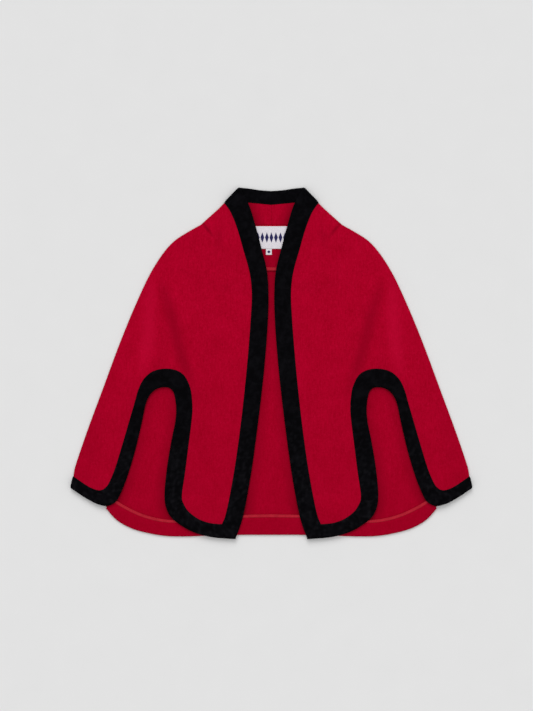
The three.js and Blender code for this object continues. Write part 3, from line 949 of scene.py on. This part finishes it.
@dataclass(frozen=True)
class Floor:
    """Matt pale paper that the cape lies on."""

    name: str = "pale_paper"
    low: Colour = (0.733, 0.733, 0.733)
    high: Colour = (0.752, 0.752, 0.752)

    def make(self) -> bpy.types.Material:
        """Builds the material.

        Returns:
            The material.
        """
        s = Shader(self.name)
        s.base(s.blend(s.noise(60.0, 2.0), self.low, self.high))
        s.set(Roughness=1.0, Specular_IOR_Level=0.0)
        return s.material


TAG = Label("woven_tag", pitch_mm=11.2, half_height_mm=5.0, middle_x_mm=-4.8, middle_y_mm=211.6, stroke=0.6)
RED_THREAD = Thread("red_thread", (0.26, 0.010, 0.022))
BLACK_THREAD = Thread("black_thread", (0.006, 0.006, 0.007))
WHITE_THREAD = Thread("white_thread", (0.70, 0.68, 0.69))


@dataclass
class Finishes:
    """The cape's materials, each made once."""

    wool: bpy.types.Material = field(default_factory=Wool().make)
    velvet: bpy.types.Material = field(default_factory=Velvet().make)
    tape: bpy.types.Material = field(default_factory=Tape().make)
    label: bpy.types.Material = field(default_factory=Label().make)
    tag: bpy.types.Material = field(default_factory=TAG.make)
    red_thread: bpy.types.Material = field(default_factory=RED_THREAD.make)
    black_thread: bpy.types.Material = field(default_factory=BLACK_THREAD.make)
    white_thread: bpy.types.Material = field(default_factory=WHITE_THREAD.make)


def put(
    mesh: bmesh.types.BMesh, name: str, finish: bpy.types.Material, replaces: Sequence[str] = (),
    painted_shading: Heights | None = None,
) -> bpy.types.Object:
    """Makes a piece of the cape from a mesh in millimetres, riding on the body.

    Args:
        mesh: The mesh, which is freed.
        name: The piece's name.
        finish: Its material.
        replaces: CAD nodes that it stands for.
        painted_shading: Gives the painted light and shade on its upper face, where it has one.

    Returns:
        The piece.
    """
    if mesh.calc_volume(signed=True) < 0:
        bmesh.ops.reverse_faces(mesh, faces=mesh.faces[:])
    mesh.normal_update()
    plan = np.array([v.co.xy for v in mesh.verts])
    upward = smooth(np.array([v.normal.z for v in mesh.verts]), -0.4, 0.2)
    bmesh.ops.scale(mesh, vec=(MM, MM, MM), verts=mesh.verts[:])
    data = bpy.data.meshes.new(name)
    mesh.to_mesh(data)
    mesh.free()
    data.polygons.foreach_set("use_smooth", [True] * len(data.polygons))
    if painted_shading:
        # Painted light and shade, kept to the faces that look up
        data.attributes.new("painted_shading", "FLOAT", "POINT").data.foreach_set("value", painted_shading(plan) * upward)
    piece = bpy.data.objects.new(name, data)
    bpy.context.scene.collection.objects.link(piece)
    data.materials.append(finish)
    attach(piece, BODY)
    if replaces:
        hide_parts(*replaces)
    LOG.info("%s: %d faces", name, len(data.polygons))
    return piece


def loft(*tubes: np.ndarray) -> bmesh.types.BMesh:
    """Makes tubes of sections from grids.

    Args:
        tubes: For each tube its corners in millimetres, by section and then round it.

    Returns:
        The mesh of all the tubes, with their ends filled.
    """
    mesh = bmesh.new()
    for sections in tubes:
        count, around = sections.shape[:2]
        grid = bmesh.ops.create_grid(mesh, x_segments=count - 1, y_segments=around, size=1.0)["verts"]
        for vert in grid:
            i = round((vert.co.x + 1.0) / 2.0 * (count - 1))
            k = round((vert.co.y + 1.0) / 2.0 * around)
            vert.co = sections[i, k % around]
        bmesh.ops.remove_doubles(mesh, verts=grid, dist=1e-4)
    ends = [edge for edge in mesh.edges if edge.is_boundary]
    for edge in ends:
        edge.smooth = False
    bmesh.ops.edgeloop_fill(mesh, edges=ends)
    bmesh.ops.recalc_face_normals(mesh, faces=mesh.faces[:])
    return mesh


@dataclass
class Panel:
    """A cut panel of cloth: an outline, a height for its underside and a rounded rim."""

    name: str
    outline: Points
    bottom: Heights
    thickness: float = WOOL_THICK
    spacing: float = 5.0
    round_top: float = 1.5
    round_bottom: float = 0.6
    rim_rows: tuple[float, ...] = (0.25, 0.45, 0.9, 2.0)
    details: tuple[tuple[float, float, float], ...] = ()

    def flat(self) -> bmesh.types.BMesh:
        """Cuts the outline into rim rows and a grid.

        Returns:
            A flat mesh that faces up.
        """
        mesh = bmesh.new()
        face = mesh.faces.new([mesh.verts.new((x, y, 0.0)) for x, y in self.outline])
        for width in self.rim_rows:
            bmesh.ops.inset_region(
                mesh, faces=[face], thickness=width, use_even_offset=True, use_boundary=True)
        low, high = self.outline.min(axis=0), self.outline.max(axis=0)
        for axis in (0, 1):
            normal = Vector((0.0, 0.0, 0.0))
            normal[axis] = 1.0
            for place in np.arange(low[axis] + self.spacing / 2, high[axis], self.spacing):
                parts = [*mesh.verts, *mesh.edges, *mesh.faces]
                bmesh.ops.bisect_plane(mesh, geom=parts, dist=0.1, plane_co=normal * place, plane_no=normal)
        for x, y, radius in self.details:
            near = [e for e in mesh.edges if math.hypot(e.verts[0].co.x - x, e.verts[0].co.y - y) < radius]
            bmesh.ops.subdivide_edges(mesh, edges=near, cuts=2, use_grid_fill=True)
        bmesh.ops.recalc_face_normals(mesh, faces=mesh.faces[:])
        if mesh.faces[:][0].normal.z < 0:
            bmesh.ops.reverse_faces(mesh, faces=mesh.faces[:])
        mesh.normal_update()
        return mesh

    def build(self) -> bmesh.types.BMesh:
        """Builds the panel as a closed wall that follows its heights.

        Returns:
            Its mesh in millimetres.
        """
        mesh = self.flat()
        bmesh.ops.solidify(mesh, geom=mesh.faces[:], thickness=1.0)
        is_top = np.array([v.co.z for v in mesh.verts])
        is_top = is_top > (is_top.min() + is_top.max()) / 2
        plan = np.array([v.co.xy for v in mesh.verts])
        depth = distance_to(plan, self.outline, closed=True)
        heights = self.bottom(plan)
        top = self.thickness - self.round_top * self.rounding(depth, self.round_top)
        under = self.round_bottom * self.rounding(depth, self.round_bottom)
        heights = heights + np.where(is_top, top, under)
        for vert, height in zip(mesh.verts, heights):
            vert.co.z = height
        return mesh

    @staticmethod
    def rounding(depth: np.ndarray, radius: float) -> np.ndarray:
        """A quarter round from 1 at the rim to 0 at the radius."""
        return 1.0 - np.sqrt(np.maximum(1.0 - np.clip(1.0 - depth / max(radius, 1e-6), 0.0, 1.0) ** 2, 0.0))


@dataclass
class Binding:
    """Velvet folded over a bound edge: puffed on top, round at the edge, its borders turned under.

    Its upper layer follows surface where that is given, or else bottom, as the rest does. Where an end is
    given, more cloth turns over that end.
    """

    name: str
    stations: Stations
    bottom: Heights
    surface: Heights | None = None
    turned_end: int | None = None
    puff: float = 0.35
    ruffle: float = 0.22
    fold_steps: int = 9
    turn_depth: float = 5.0
    turn_steps: int = 12
    turn_places: int = 24
    turn_margin: float = 0.9
    turn_taper: float = 4.0
    turn_least: float = 0.2
    turn_lift: float = 0.12
    turn_stand: float = 0.35
    turn_foot: float = 0.02
    turn_foot_inside: float = 0.08
    pile_large: float = 13.0
    pile_small: float = 5.0

    def profile(self, width: float) -> list[tuple[float, float]]:
        """The folded cloth's section.

        Args:
            width: The binding's width here.

        Returns:
            Distances in from the edge, and heights from the middle of the wool, round the section.
        """
        half = WOOL_THICK / 2
        outer = half + GAP + VELVET_THICK
        inner = half + GAP
        top = [(width, half - 0.1), (width - 0.1, half + 0.5), (width - 0.45, outer - 0.45),
               (width - 1.1, outer - 0.1), (width - 2.2, outer + 0.1)]
        top += [(width * part, outer + self.puff * math.sin(math.pi * part) ** 0.6)
                for part in (0.85, 0.74, 0.62, 0.5, 0.38, 0.27, 0.18)]
        top.append((outer + 1.0, outer + 0.12))
        turns = [math.pi / 2 - math.pi * k / self.fold_steps for k in range(self.fold_steps + 1)]
        fold = [(outer - outer * math.cos(a), outer * math.sin(a)) for a in turns]
        under = [(width * part, -outer) for part in (0.3, 0.55, 0.8)]
        under += [(width - 1.2, -outer), (width - 0.5, 0.3 - outer), (width - 0.1, 0.8 - outer),
                  (width, -half - 0.15)]
        lining = [(width - 0.6, -half - 0.22), (width * 0.5, -inner), (BINDING_LIFT, -inner),
                  (VELVET_THICK, -half), (VELVET_THICK, half), (BINDING_LIFT, inner),
                  (width * 0.5, inner), (width - 0.6, half + 0.15)]
        return top + fold + under + lining

    def build(self) -> bmesh.types.BMesh:
        """Builds the folded strip.

        Returns:
            Its mesh in millimetres.
        """
        widths = self.stations.width()
        profiles = np.array([self.profile(width) for width in widths])
        count, around = profiles.shape[:2]
        inward = (self.stations.border - self.stations.edge) / widths[:, None]
        plan = self.stations.edge[:, None, :] + inward[:, None, :] * profiles[:, :, :1]
        at_wool = np.maximum(profiles[:, :, :1], BINDING_LIFT)
        wool_plan = (self.stations.edge[:, None, :] + inward[:, None, :] * at_wool).reshape(-1, 2)
        heights = profiles[:, :, 1]
        upper = smooth(heights, WOOL_THICK / 2, WOOL_THICK / 2 + 1.2)
        below, above = (f(wool_plan).reshape(count, around) for f in (self.bottom, self.over()))
        middle = below + (above - below) * upper + WOOL_THICK / 2
        flat = plan.reshape(-1, 2)
        uneven = waves(flat, self.pile_large, seed=7.0) + 0.6 * waves(flat, self.pile_small, seed=8.0)
        pile = self.ruffle * uneven + crease_height(on_left(flat), VELVET_PUCKERS)
        loose = upper * smooth(widths[:, None] - profiles[:, :, 0], 1.6, 6.0)
        if self.turned_end is not None:
            from_end = np.abs(np.arange(count) - self.turned_end % count)
            loose = loose * smooth(from_end, 2.0, 6.0)[:, None]
        tube = np.dstack([plan, middle + heights + pile.reshape(count, around) * loose])
        return loft(tube) if self.turned_end is None else loft(tube, self.turned_over())

    def over(self) -> Heights:
        """Underside of the wool as the binding's upper layer follows it."""
        return self.surface or self.bottom

    def turned_over(self) -> np.ndarray:
        """The cloth that turns over the binding's end and down to the surface.

        Returns:
            Its corners, by section along the end and then round each section.
        """
        end = self.turned_end
        edge, border = self.stations.edge[end], self.stations.border[end]
        width = float(np.linalg.norm(border - edge))
        run = (border - edge) / width
        out = edge - self.stations.edge[1 if end == 0 else end - 1]
        out = out - run * (out @ run)
        out = out / np.linalg.norm(out)
        face = np.array(self.profile(width)[:14 + self.fold_steps // 2])
        face = face[np.argsort(face[:, 0])]
        angles = np.linspace(math.pi / 2, -math.pi / 2, self.turn_steps + 1)
        places = np.linspace(self.turn_margin, width - self.turn_margin, self.turn_places)
        from_edge = np.minimum(places, width - places)
        rise = smooth(from_edge, self.turn_margin, self.turn_taper)
        full = self.turn_least + (1.0 - self.turn_least) * rise
        sections = []
        for along, part in zip(places, full):
            level = float(np.interp(along, face[:, 0], face[:, 1])) + WOOL_THICK / 2 + self.turn_lift
            spot = edge + run * along
            depth = self.turn_depth * part
            tops = self.over()(np.array([spot, spot - out * depth / 2, spot - out * depth])) + level
            rows = []
            for thick, floor in ((VELVET_THICK * part, self.turn_foot), (0.0, self.turn_foot_inside)):
                half = (tops[0] + thick - floor) / 2
                side = [(max(math.cos(a), 0.0) ** 0.5 * (self.turn_stand + thick),
                         floor + half + half * math.sin(a)) for a in angles]
                rows.append([(-depth, tops[2] + 0.2 * thick), (-depth / 2, tops[1] + 0.75 * thick), *side])
            sections.append([(*(spot + out * n), z) for n, z in rows[0] + rows[1][::-1]])
        sections = np.array(sections)
        sections[:, 0, 2] += 0.05
        return sections


@dataclass
class FlatStrip:
    """A strip of cloth between two rows of points, with rounded long edges."""

    name: str
    lower: Points
    upper: Points
    bottom: Heights
    thickness: float
    steps: int = 8
    radius: float = 0.7

    def build(self) -> bmesh.types.BMesh:
        """Builds the strip.

        Returns:
            Its mesh in millimetres.
        """
        width = float(np.linalg.norm(self.upper - self.lower, axis=1).mean())
        curl = [0.0, 0.12 * self.radius, 0.5 * self.radius, self.radius]
        inside = list(np.linspace(self.radius, width - self.radius, self.steps + 1))[1:-1]
        across = curl + inside + [width - c for c in curl[::-1]]
        rims = [1 - min(c, width - c, self.radius) / self.radius for c in across]
        round_off = [self.radius * (1 - math.sqrt(max(0.0, 1 - rim**2))) for rim in rims]
        section = [(c, self.thickness - r) for c, r in zip(across, round_off)]
        section += [(c, 0.4 * r) for c, r in zip(across[::-1], round_off[::-1])]
        shape = np.array(section)
        parts = (shape[:, 0] / width)[None, :, None]
        plan = self.lower[:, None, :] * (1 - parts) + self.upper[:, None, :] * parts
        heights = self.bottom(plan.reshape(-1, 2)).reshape(plan.shape[:2]) + shape[:, 1]
        return loft(np.dstack([plan, heights]))


@dataclass
class Stitches:
    """Small stitches in rows on a cloth's face."""

    pitch: float = 3.2
    length: float = 2.1
    thickness: float = 0.42

    def build(self, lines: Iterable[Points], height: Heights) -> bmesh.types.BMesh:
        """Lays the stitches.

        Args:
            lines: Rows of plan points that the stitches follow.
            height: Height of the cloth's face.

        Returns:
            One mesh with all the stitches.
        """
        mesh = bmesh.new()
        for line in lines:
            runs = np.linalg.norm(np.diff(line, axis=0), axis=1)
            total = np.concatenate([[0.0], np.cumsum(runs)])
            places = np.arange(self.pitch / 2, total[-1], self.pitch)
            points = np.column_stack([np.interp(places, total, line[:, k]) for k in (0, 1)])
            ahead = np.column_stack([np.interp(places + 0.5, total, line[:, k]) for k in (0, 1)])
            behind = np.column_stack([np.interp(places - 0.5, total, line[:, k]) for k in (0, 1)])
            for (x, y), z, (dx, dy) in zip(points, height(points), ahead - behind):
                turn = Matrix.Rotation(math.atan2(dy, dx), 4, "Z")
                size = Matrix.Diagonal((self.length / 2, self.thickness / 2, self.thickness / 2, 1.0))
                place = Matrix.Translation((x, y, z)) @ turn @ size
                bmesh.ops.create_icosphere(mesh, subdivisions=1, radius=1.0, matrix=place)
        return mesh


@dataclass
class Cape:
    """The whole garment, layer by layer from the back up."""

    finishes: Finishes
    plan: Plan = field(default_factory=Plan)
    # Painted light and shade on the cloth's upper faces
    painted_shading: PaintedShading = field(default_factory=PaintedShading)
    hem_inset: float = 2.3
    hem_clear: float = 0.15
    hem_fold_steps: int = 9
    tape_overlap: float = 0.6
    hem_tape_thick: float = TAPE_THICK + 0.35
    neck_tape_thick: float = TAPE_THICK + 0.3
    stitch_rise: float = 0.03
    stitch_margin: float = 1.0
    hem_seam: float = 0.4
    neck_seam: float = 0.2
    border_inset: float = 1.5
    label_inset: float = 1.6

    def build(self) -> None:
        """Builds every piece."""
        self.back()
        self.back_collars()
        self.back_bindings()
        self.hem()
        self.neck()
        for side in (Side.LEFT, Side.RIGHT):
            self.front(side)
        self.sewing()

    @staticmethod
    def turned(points: Points, side: Side) -> Points:
        """An outline of the left half, put on the side that it is for."""
        return points if side is Side.LEFT else mirror(points)

    @staticmethod
    def stations_on(stations: Stations, side: Side) -> Stations:
        """Stations of the left half, put on the side that they are for."""
        return stations if side is Side.LEFT else stations.mirrored()

    def wool(self, mesh: bmesh.types.BMesh, name: str, node: str, painted_shading: Heights) -> bpy.types.Object:
        """Puts a piece of wool in place of its CAD node."""
        return put(mesh, name, self.finishes.wool, (node,), painted_shading)

    def velvet(self, binding: Binding, node: str) -> bpy.types.Object:
        """Puts a binding in place of its CAD node."""
        mesh = binding.build()
        return put(mesh, binding.name, self.finishes.velvet, (node,), self.painted_shading.crushed_pile_and_sheen)

    def tape(self, strip: FlatStrip, node: str) -> bpy.types.Object:
        """Puts a tape in place of its CAD node."""
        return put(strip.build(), strip.name, self.finishes.tape, (node,))

    def back(self) -> None:
        """The back panel, from the folded hem to the neck seam."""
        p = self.plan
        seam_y = p.neck_seam_y
        right = np.vstack([
            p.hem.inward(self.hem_inset), p.cuff.inward(BINDING_LIFT)[:-1], [p.cuff.border[-1]],
            p.shoulder[1:-1], [(p.shoulder[-1][0], seam_y), (0.0, seam_y)],
        ])
        outline = np.vstack([right, mirror(right)[1:-1]])
        panel = Panel("back_cloth", outline, p.back_bottom, round_top=0.6, round_bottom=1.4)
        piece = self.wool(panel.build(), panel.name, "back_panel", self.painted_shading.inside(p))

    def back_collars(self) -> None:
        """The two halves of the back collar, seamed at the centre back."""
        p = self.plan
        seam = np.array([(0.0, p.neck_seam_y), (p.shoulder[-1][0], p.neck_seam_y)])
        wall = p.collar.part(0, -1).inward(BINDING_LIFT)[::-1]
        outline = np.vstack([seam, p.collar_side[1:], wall])
        for side in (Side.LEFT, Side.RIGHT):
            panel = Panel(f"back_collar_{side.value}_cloth", self.turned(outline, side), p.back_bottom,
                          spacing=4.0, round_top=0.8, round_bottom=1.2)
            piece = self.wool(panel.build(), panel.name, f"back_collar_{side.value}", self.painted_shading.inside(p))

    def back_bindings(self) -> None:
        """Binding on the back collar's top edge and on the back of each wing's cuff."""
        p = self.plan
        collar = Binding("collar_velvet", p.collar.across(), p.back_bottom)
        piece = self.velvet(collar, "collar_binding")
        for side in (Side.LEFT, Side.RIGHT):
            cuff = Binding(f"cuff_{side.value}_velvet", self.stations_on(p.cuff, side), p.back_bottom)
            piece = self.velvet(cuff, f"cuff_binding_{side.value}")

    def hem(self) -> None:
        """The turned-up hem of the back, folded round its edge, with the tape that binds it."""
        p = self.plan
        both = p.hem.across()
        depth = both.width()
        top = 2 * WOOL_THICK + GAP
        radius = top / 2
        turns = [math.pi / 2 + math.pi * k / self.hem_fold_steps for k in range(self.hem_fold_steps + 1)]
        outer = [(radius + radius * math.cos(a), radius + radius * math.sin(a)) for a in turns]
        start = self.hem_inset - self.hem_clear
        on_wool = WOOL_THICK + GAP
        sections = []
        for i, full in enumerate(depth):
            upper = [(full, top - 1.6), (full, top - 0.5), (full - 0.5, top)]
            upper += [(full * part, top) for part in (0.8, 0.6, 0.4, 0.2)]
            under = [(start, 0.0), (start, WOOL_THICK + 0.2), (full * 0.4, on_wool), (full * 0.7, on_wool)]
            section = np.array(upper + outer + under)
            step = (both.border[i] - both.edge[i]) / full
            plan = both.edge[i] + step * section[:, :1]
            sections.append(np.column_stack([plan, section[:, 1]]))
        table = np.array(sections)
        lift = p.back_bottom(table[:, :, :2].reshape(-1, 2)).reshape(table.shape[:2])
        table[:, :, 2] += lift * smooth(table[:, :, 2], -0.5, 2.0)
        piece = self.wool(loft(table), "hem_turn_up_cloth", "hem_turn_up", self.painted_shading.turned_up)
        low, high = both.inward(depth - self.tape_overlap), both.inward(depth + p.hem_tape)
        made = self.tape(FlatStrip("hem_tape_satin", low, high, p.on_back, self.hem_tape_thick), "hem_tape")

    def neck(self) -> None:
        """The neck facing with its tape, the label and the small tag under it."""
        p = self.plan
        outline = p.rectangle(p.facing_half_width, p.facing_lower_y, p.neck_seam_y - GAP)
        facing = Panel("neck_facing_cloth", outline, p.on_back, spacing=4.0, round_top=0.9, round_bottom=0.3)
        piece = self.wool(facing.build(), facing.name, "neck_facing", self.painted_shading.inside(p))
        xs = np.linspace(-p.facing_half_width, p.facing_half_width, 64)
        rows = [np.column_stack([xs, np.full_like(xs, y)]) for y in
                (p.facing_lower_y - p.facing_tape, p.facing_lower_y + 0.9)]
        made = self.tape(FlatStrip("neck_tape_satin", *rows, p.on_back, self.neck_tape_thick), "neck_tape")
        across = (-p.label_half_width, p.label_half_width)
        self.label("label_cloth", across, (p.label_lower_y, p.label_top_y), "label", self.finishes.label)
        up = (p.label_lower_y - p.tag_length, p.label_lower_y - GAP)
        self.label("tag_cloth", (p.tag_left_x, p.tag_right_x), up, "size_tag", self.finishes.tag)

    def label(self, name: str, across: Range, up: Range, node: str, finish: bpy.types.Material) -> None:
        """A woven label with soft edges.

        Args:
            name: The piece's name.
            across: Its left and right edges.
            up: Its lower and upper edges.
            node: The CAD node that it stands for.
            finish: Its material.
        """
        outline = np.array([(across[0], up[0]), (across[1], up[0]), (across[1], up[1]), (across[0], up[1])])
        panel = Panel(name, outline, self.plan.on_facing, LABEL_THICK, spacing=2.5, round_top=0.5,
                      round_bottom=0.2, rim_rows=(0.12, 0.25, 0.6))
        piece = put(panel.build(), name, finish, (node,))

    def front(self, side: Side) -> None:
        """One front with its wing, its front binding and the binding round its slot.

        Args:
            side: The wearer's side.
        """
        p = self.plan
        word = side.value
        band = np.vstack([p.front.inward(BINDING_LIFT)[1:], p.slot.inward(BINDING_LIFT)[1:-1]])
        outline = self.turned(np.vstack([band, p.shoulder, p.collar_side[1:]]), side)
        dart = (DART[0] if side is Side.LEFT else -DART[0], *DART[1:])
        panel = Panel(f"front_{word}_cloth", outline, p.front_rolled, details=(dart,))
        piece = self.wool(panel.build(), panel.name, f"front_{word}", self.painted_shading.front)
        for part, stations in (("front_binding", p.front), ("slot_binding", p.slot)):
            is_first = (part == "front_binding") == (side is Side.LEFT)
            binding = Binding(f"{part}_{word}_velvet", self.stations_on(stations, side), p.front_bottom,
                              p.front_rolled, 0 if is_first else -1)
            made = self.velvet(binding, f"{part}_{word}")
            length = float(np.linalg.norm(np.diff(stations.edge, axis=0), axis=1).sum()) * MM

    def sewing(self) -> None:
        """Stitches on the bindings' borders, on the tapes and round the label."""
        p, finishes = self.plan, self.finishes
        top = WOOL_THICK + BINDING_LIFT
        fine = {"pitch": 2.8, "length": 1.9, "thickness": 0.34}
        rows = [s.inward(s.width() - self.border_inset) for s in (p.front.part(2, None), p.slot.part(0, -2))]
        mesh = Stitches(**fine).build([*rows, *map(mirror, rows)], lambda at: p.front_rolled(at) + top)
        put(mesh, "binding_stitches", finishes.black_thread)
        across = p.collar.across()
        rows = [across.inward(across.width() - self.border_inset)]
        mesh = Stitches(**fine).build(rows, lambda at: p.back_bottom(at) + top)
        put(mesh, "collar_stitches", finishes.black_thread)
        both = p.hem.across()
        insets = (both.width() + self.hem_seam, both.width() + p.hem_tape - self.stitch_margin)
        face = self.hem_tape_thick + self.stitch_rise
        mesh = Stitches().build(map(both.inward, insets), lambda at: p.on_back(at) + face)
        put(mesh, "hem_stitches", finishes.red_thread)
        end = p.facing_half_width - self.stitch_margin
        xs = np.linspace(-end, end, 40)
        ys = (p.facing_lower_y - self.neck_seam, p.facing_lower_y - p.facing_tape + self.stitch_margin)
        rows = [np.column_stack([xs, np.full_like(xs, y)]) for y in ys]
        on_tape = self.neck_tape_thick + self.stitch_rise
        mesh = Stitches().build(rows, lambda at: p.on_back(at) + on_tape)
        put(mesh, "neck_stitches", finishes.red_thread)
        inset = self.label_inset
        ring = p.rectangle(p.label_half_width - inset, p.label_lower_y + inset, p.label_top_y - inset)
        small = Stitches(pitch=2.4, length=1.6, thickness=0.32)
        mesh = small.build([np.vstack([ring, ring[:1]])], lambda at: p.on_facing(at) + LABEL_THICK + 0.02)
        put(mesh, "label_stitches", finishes.white_thread)


@dataclass(frozen=True)
class Studio:
    """The pale floor, soft light and camera."""

    floor_size: float = 60.0
    camera_at: tuple[float, float, float] = (-0.0093, 0.0148, 3.757)
    lens: float = 100.0
    overhead_strength: float = 0.85
    overhead_spread: float = 100.0
    overhead_from: tuple[float, float, float] = (0.0, 0.1, 1.0)
    key_strength: float = 1.25
    key_spread: float = 34.0
    key_from: tuple[float, float, float] = (-0.12, 1.0, 0.85)
    sky: float = 0.50

    def build(self) -> None:
        """Sets up the stage."""
        scene = bpy.context.scene
        scene.view_settings.view_transform = "Standard"
        mesh = bmesh.new()
        bmesh.ops.create_grid(mesh, x_segments=1, y_segments=1, size=self.floor_size / 2)
        data = bpy.data.meshes.new("floor")
        mesh.to_mesh(data)
        mesh.free()
        floor = bpy.data.objects.new("floor", data)
        scene.collection.objects.link(floor)
        data.materials.append(Floor().make())
        world = bpy.data.worlds.new("studio")
        scene.world = world
        world.use_nodes = True
        background = world.node_tree.nodes["Background"]
        background.inputs["Color"].default_value = (1.0, 1.0, 1.0, 1.0)
        background.inputs["Strength"].default_value = self.sky
        self.light("overhead", self.overhead_from, self.overhead_spread, self.overhead_strength)
        self.light("key", self.key_from, self.key_spread, self.key_strength)
        lens = bpy.data.cameras.new("camera")
        lens.lens = self.lens
        lens.sensor_width = 36.0
        lens.sensor_fit = "AUTO"
        lens.clip_end = 50.0
        camera = bpy.data.objects.new("camera", lens)
        camera.location = self.camera_at
        scene.collection.objects.link(camera)
        scene.camera = camera
        LOG.info("studio is set")

    @staticmethod
    def light(name: str, source: tuple[float, float, float], spread: float, strength: float) -> None:
        """Adds an even light over the whole stage.

        Args:
            name: The light's name.
            source: The direction that it comes from.
            spread: How wide its source looks, in degrees, which softens its shadows.
            strength: Its strength in watts a square metre.
        """
        data = bpy.data.lights.new(name, "SUN")
        data.angle = math.radians(spread)
        data.energy = strength
        lamp = bpy.data.objects.new(name, data)
        lamp.rotation_mode = "QUATERNION"
        lamp.rotation_quaternion = (-Vector(source)).to_track_quat("-Z", "Y")
        bpy.context.scene.collection.objects.link(lamp)


def main() -> None:
    """Builds the studio and the cape."""
    logging.basicConfig(level=logging.INFO, format="%(name)s: %(message)s")
    Studio().build()
    Cape(Finishes()).build()


if __name__ == "__main__":
    main()
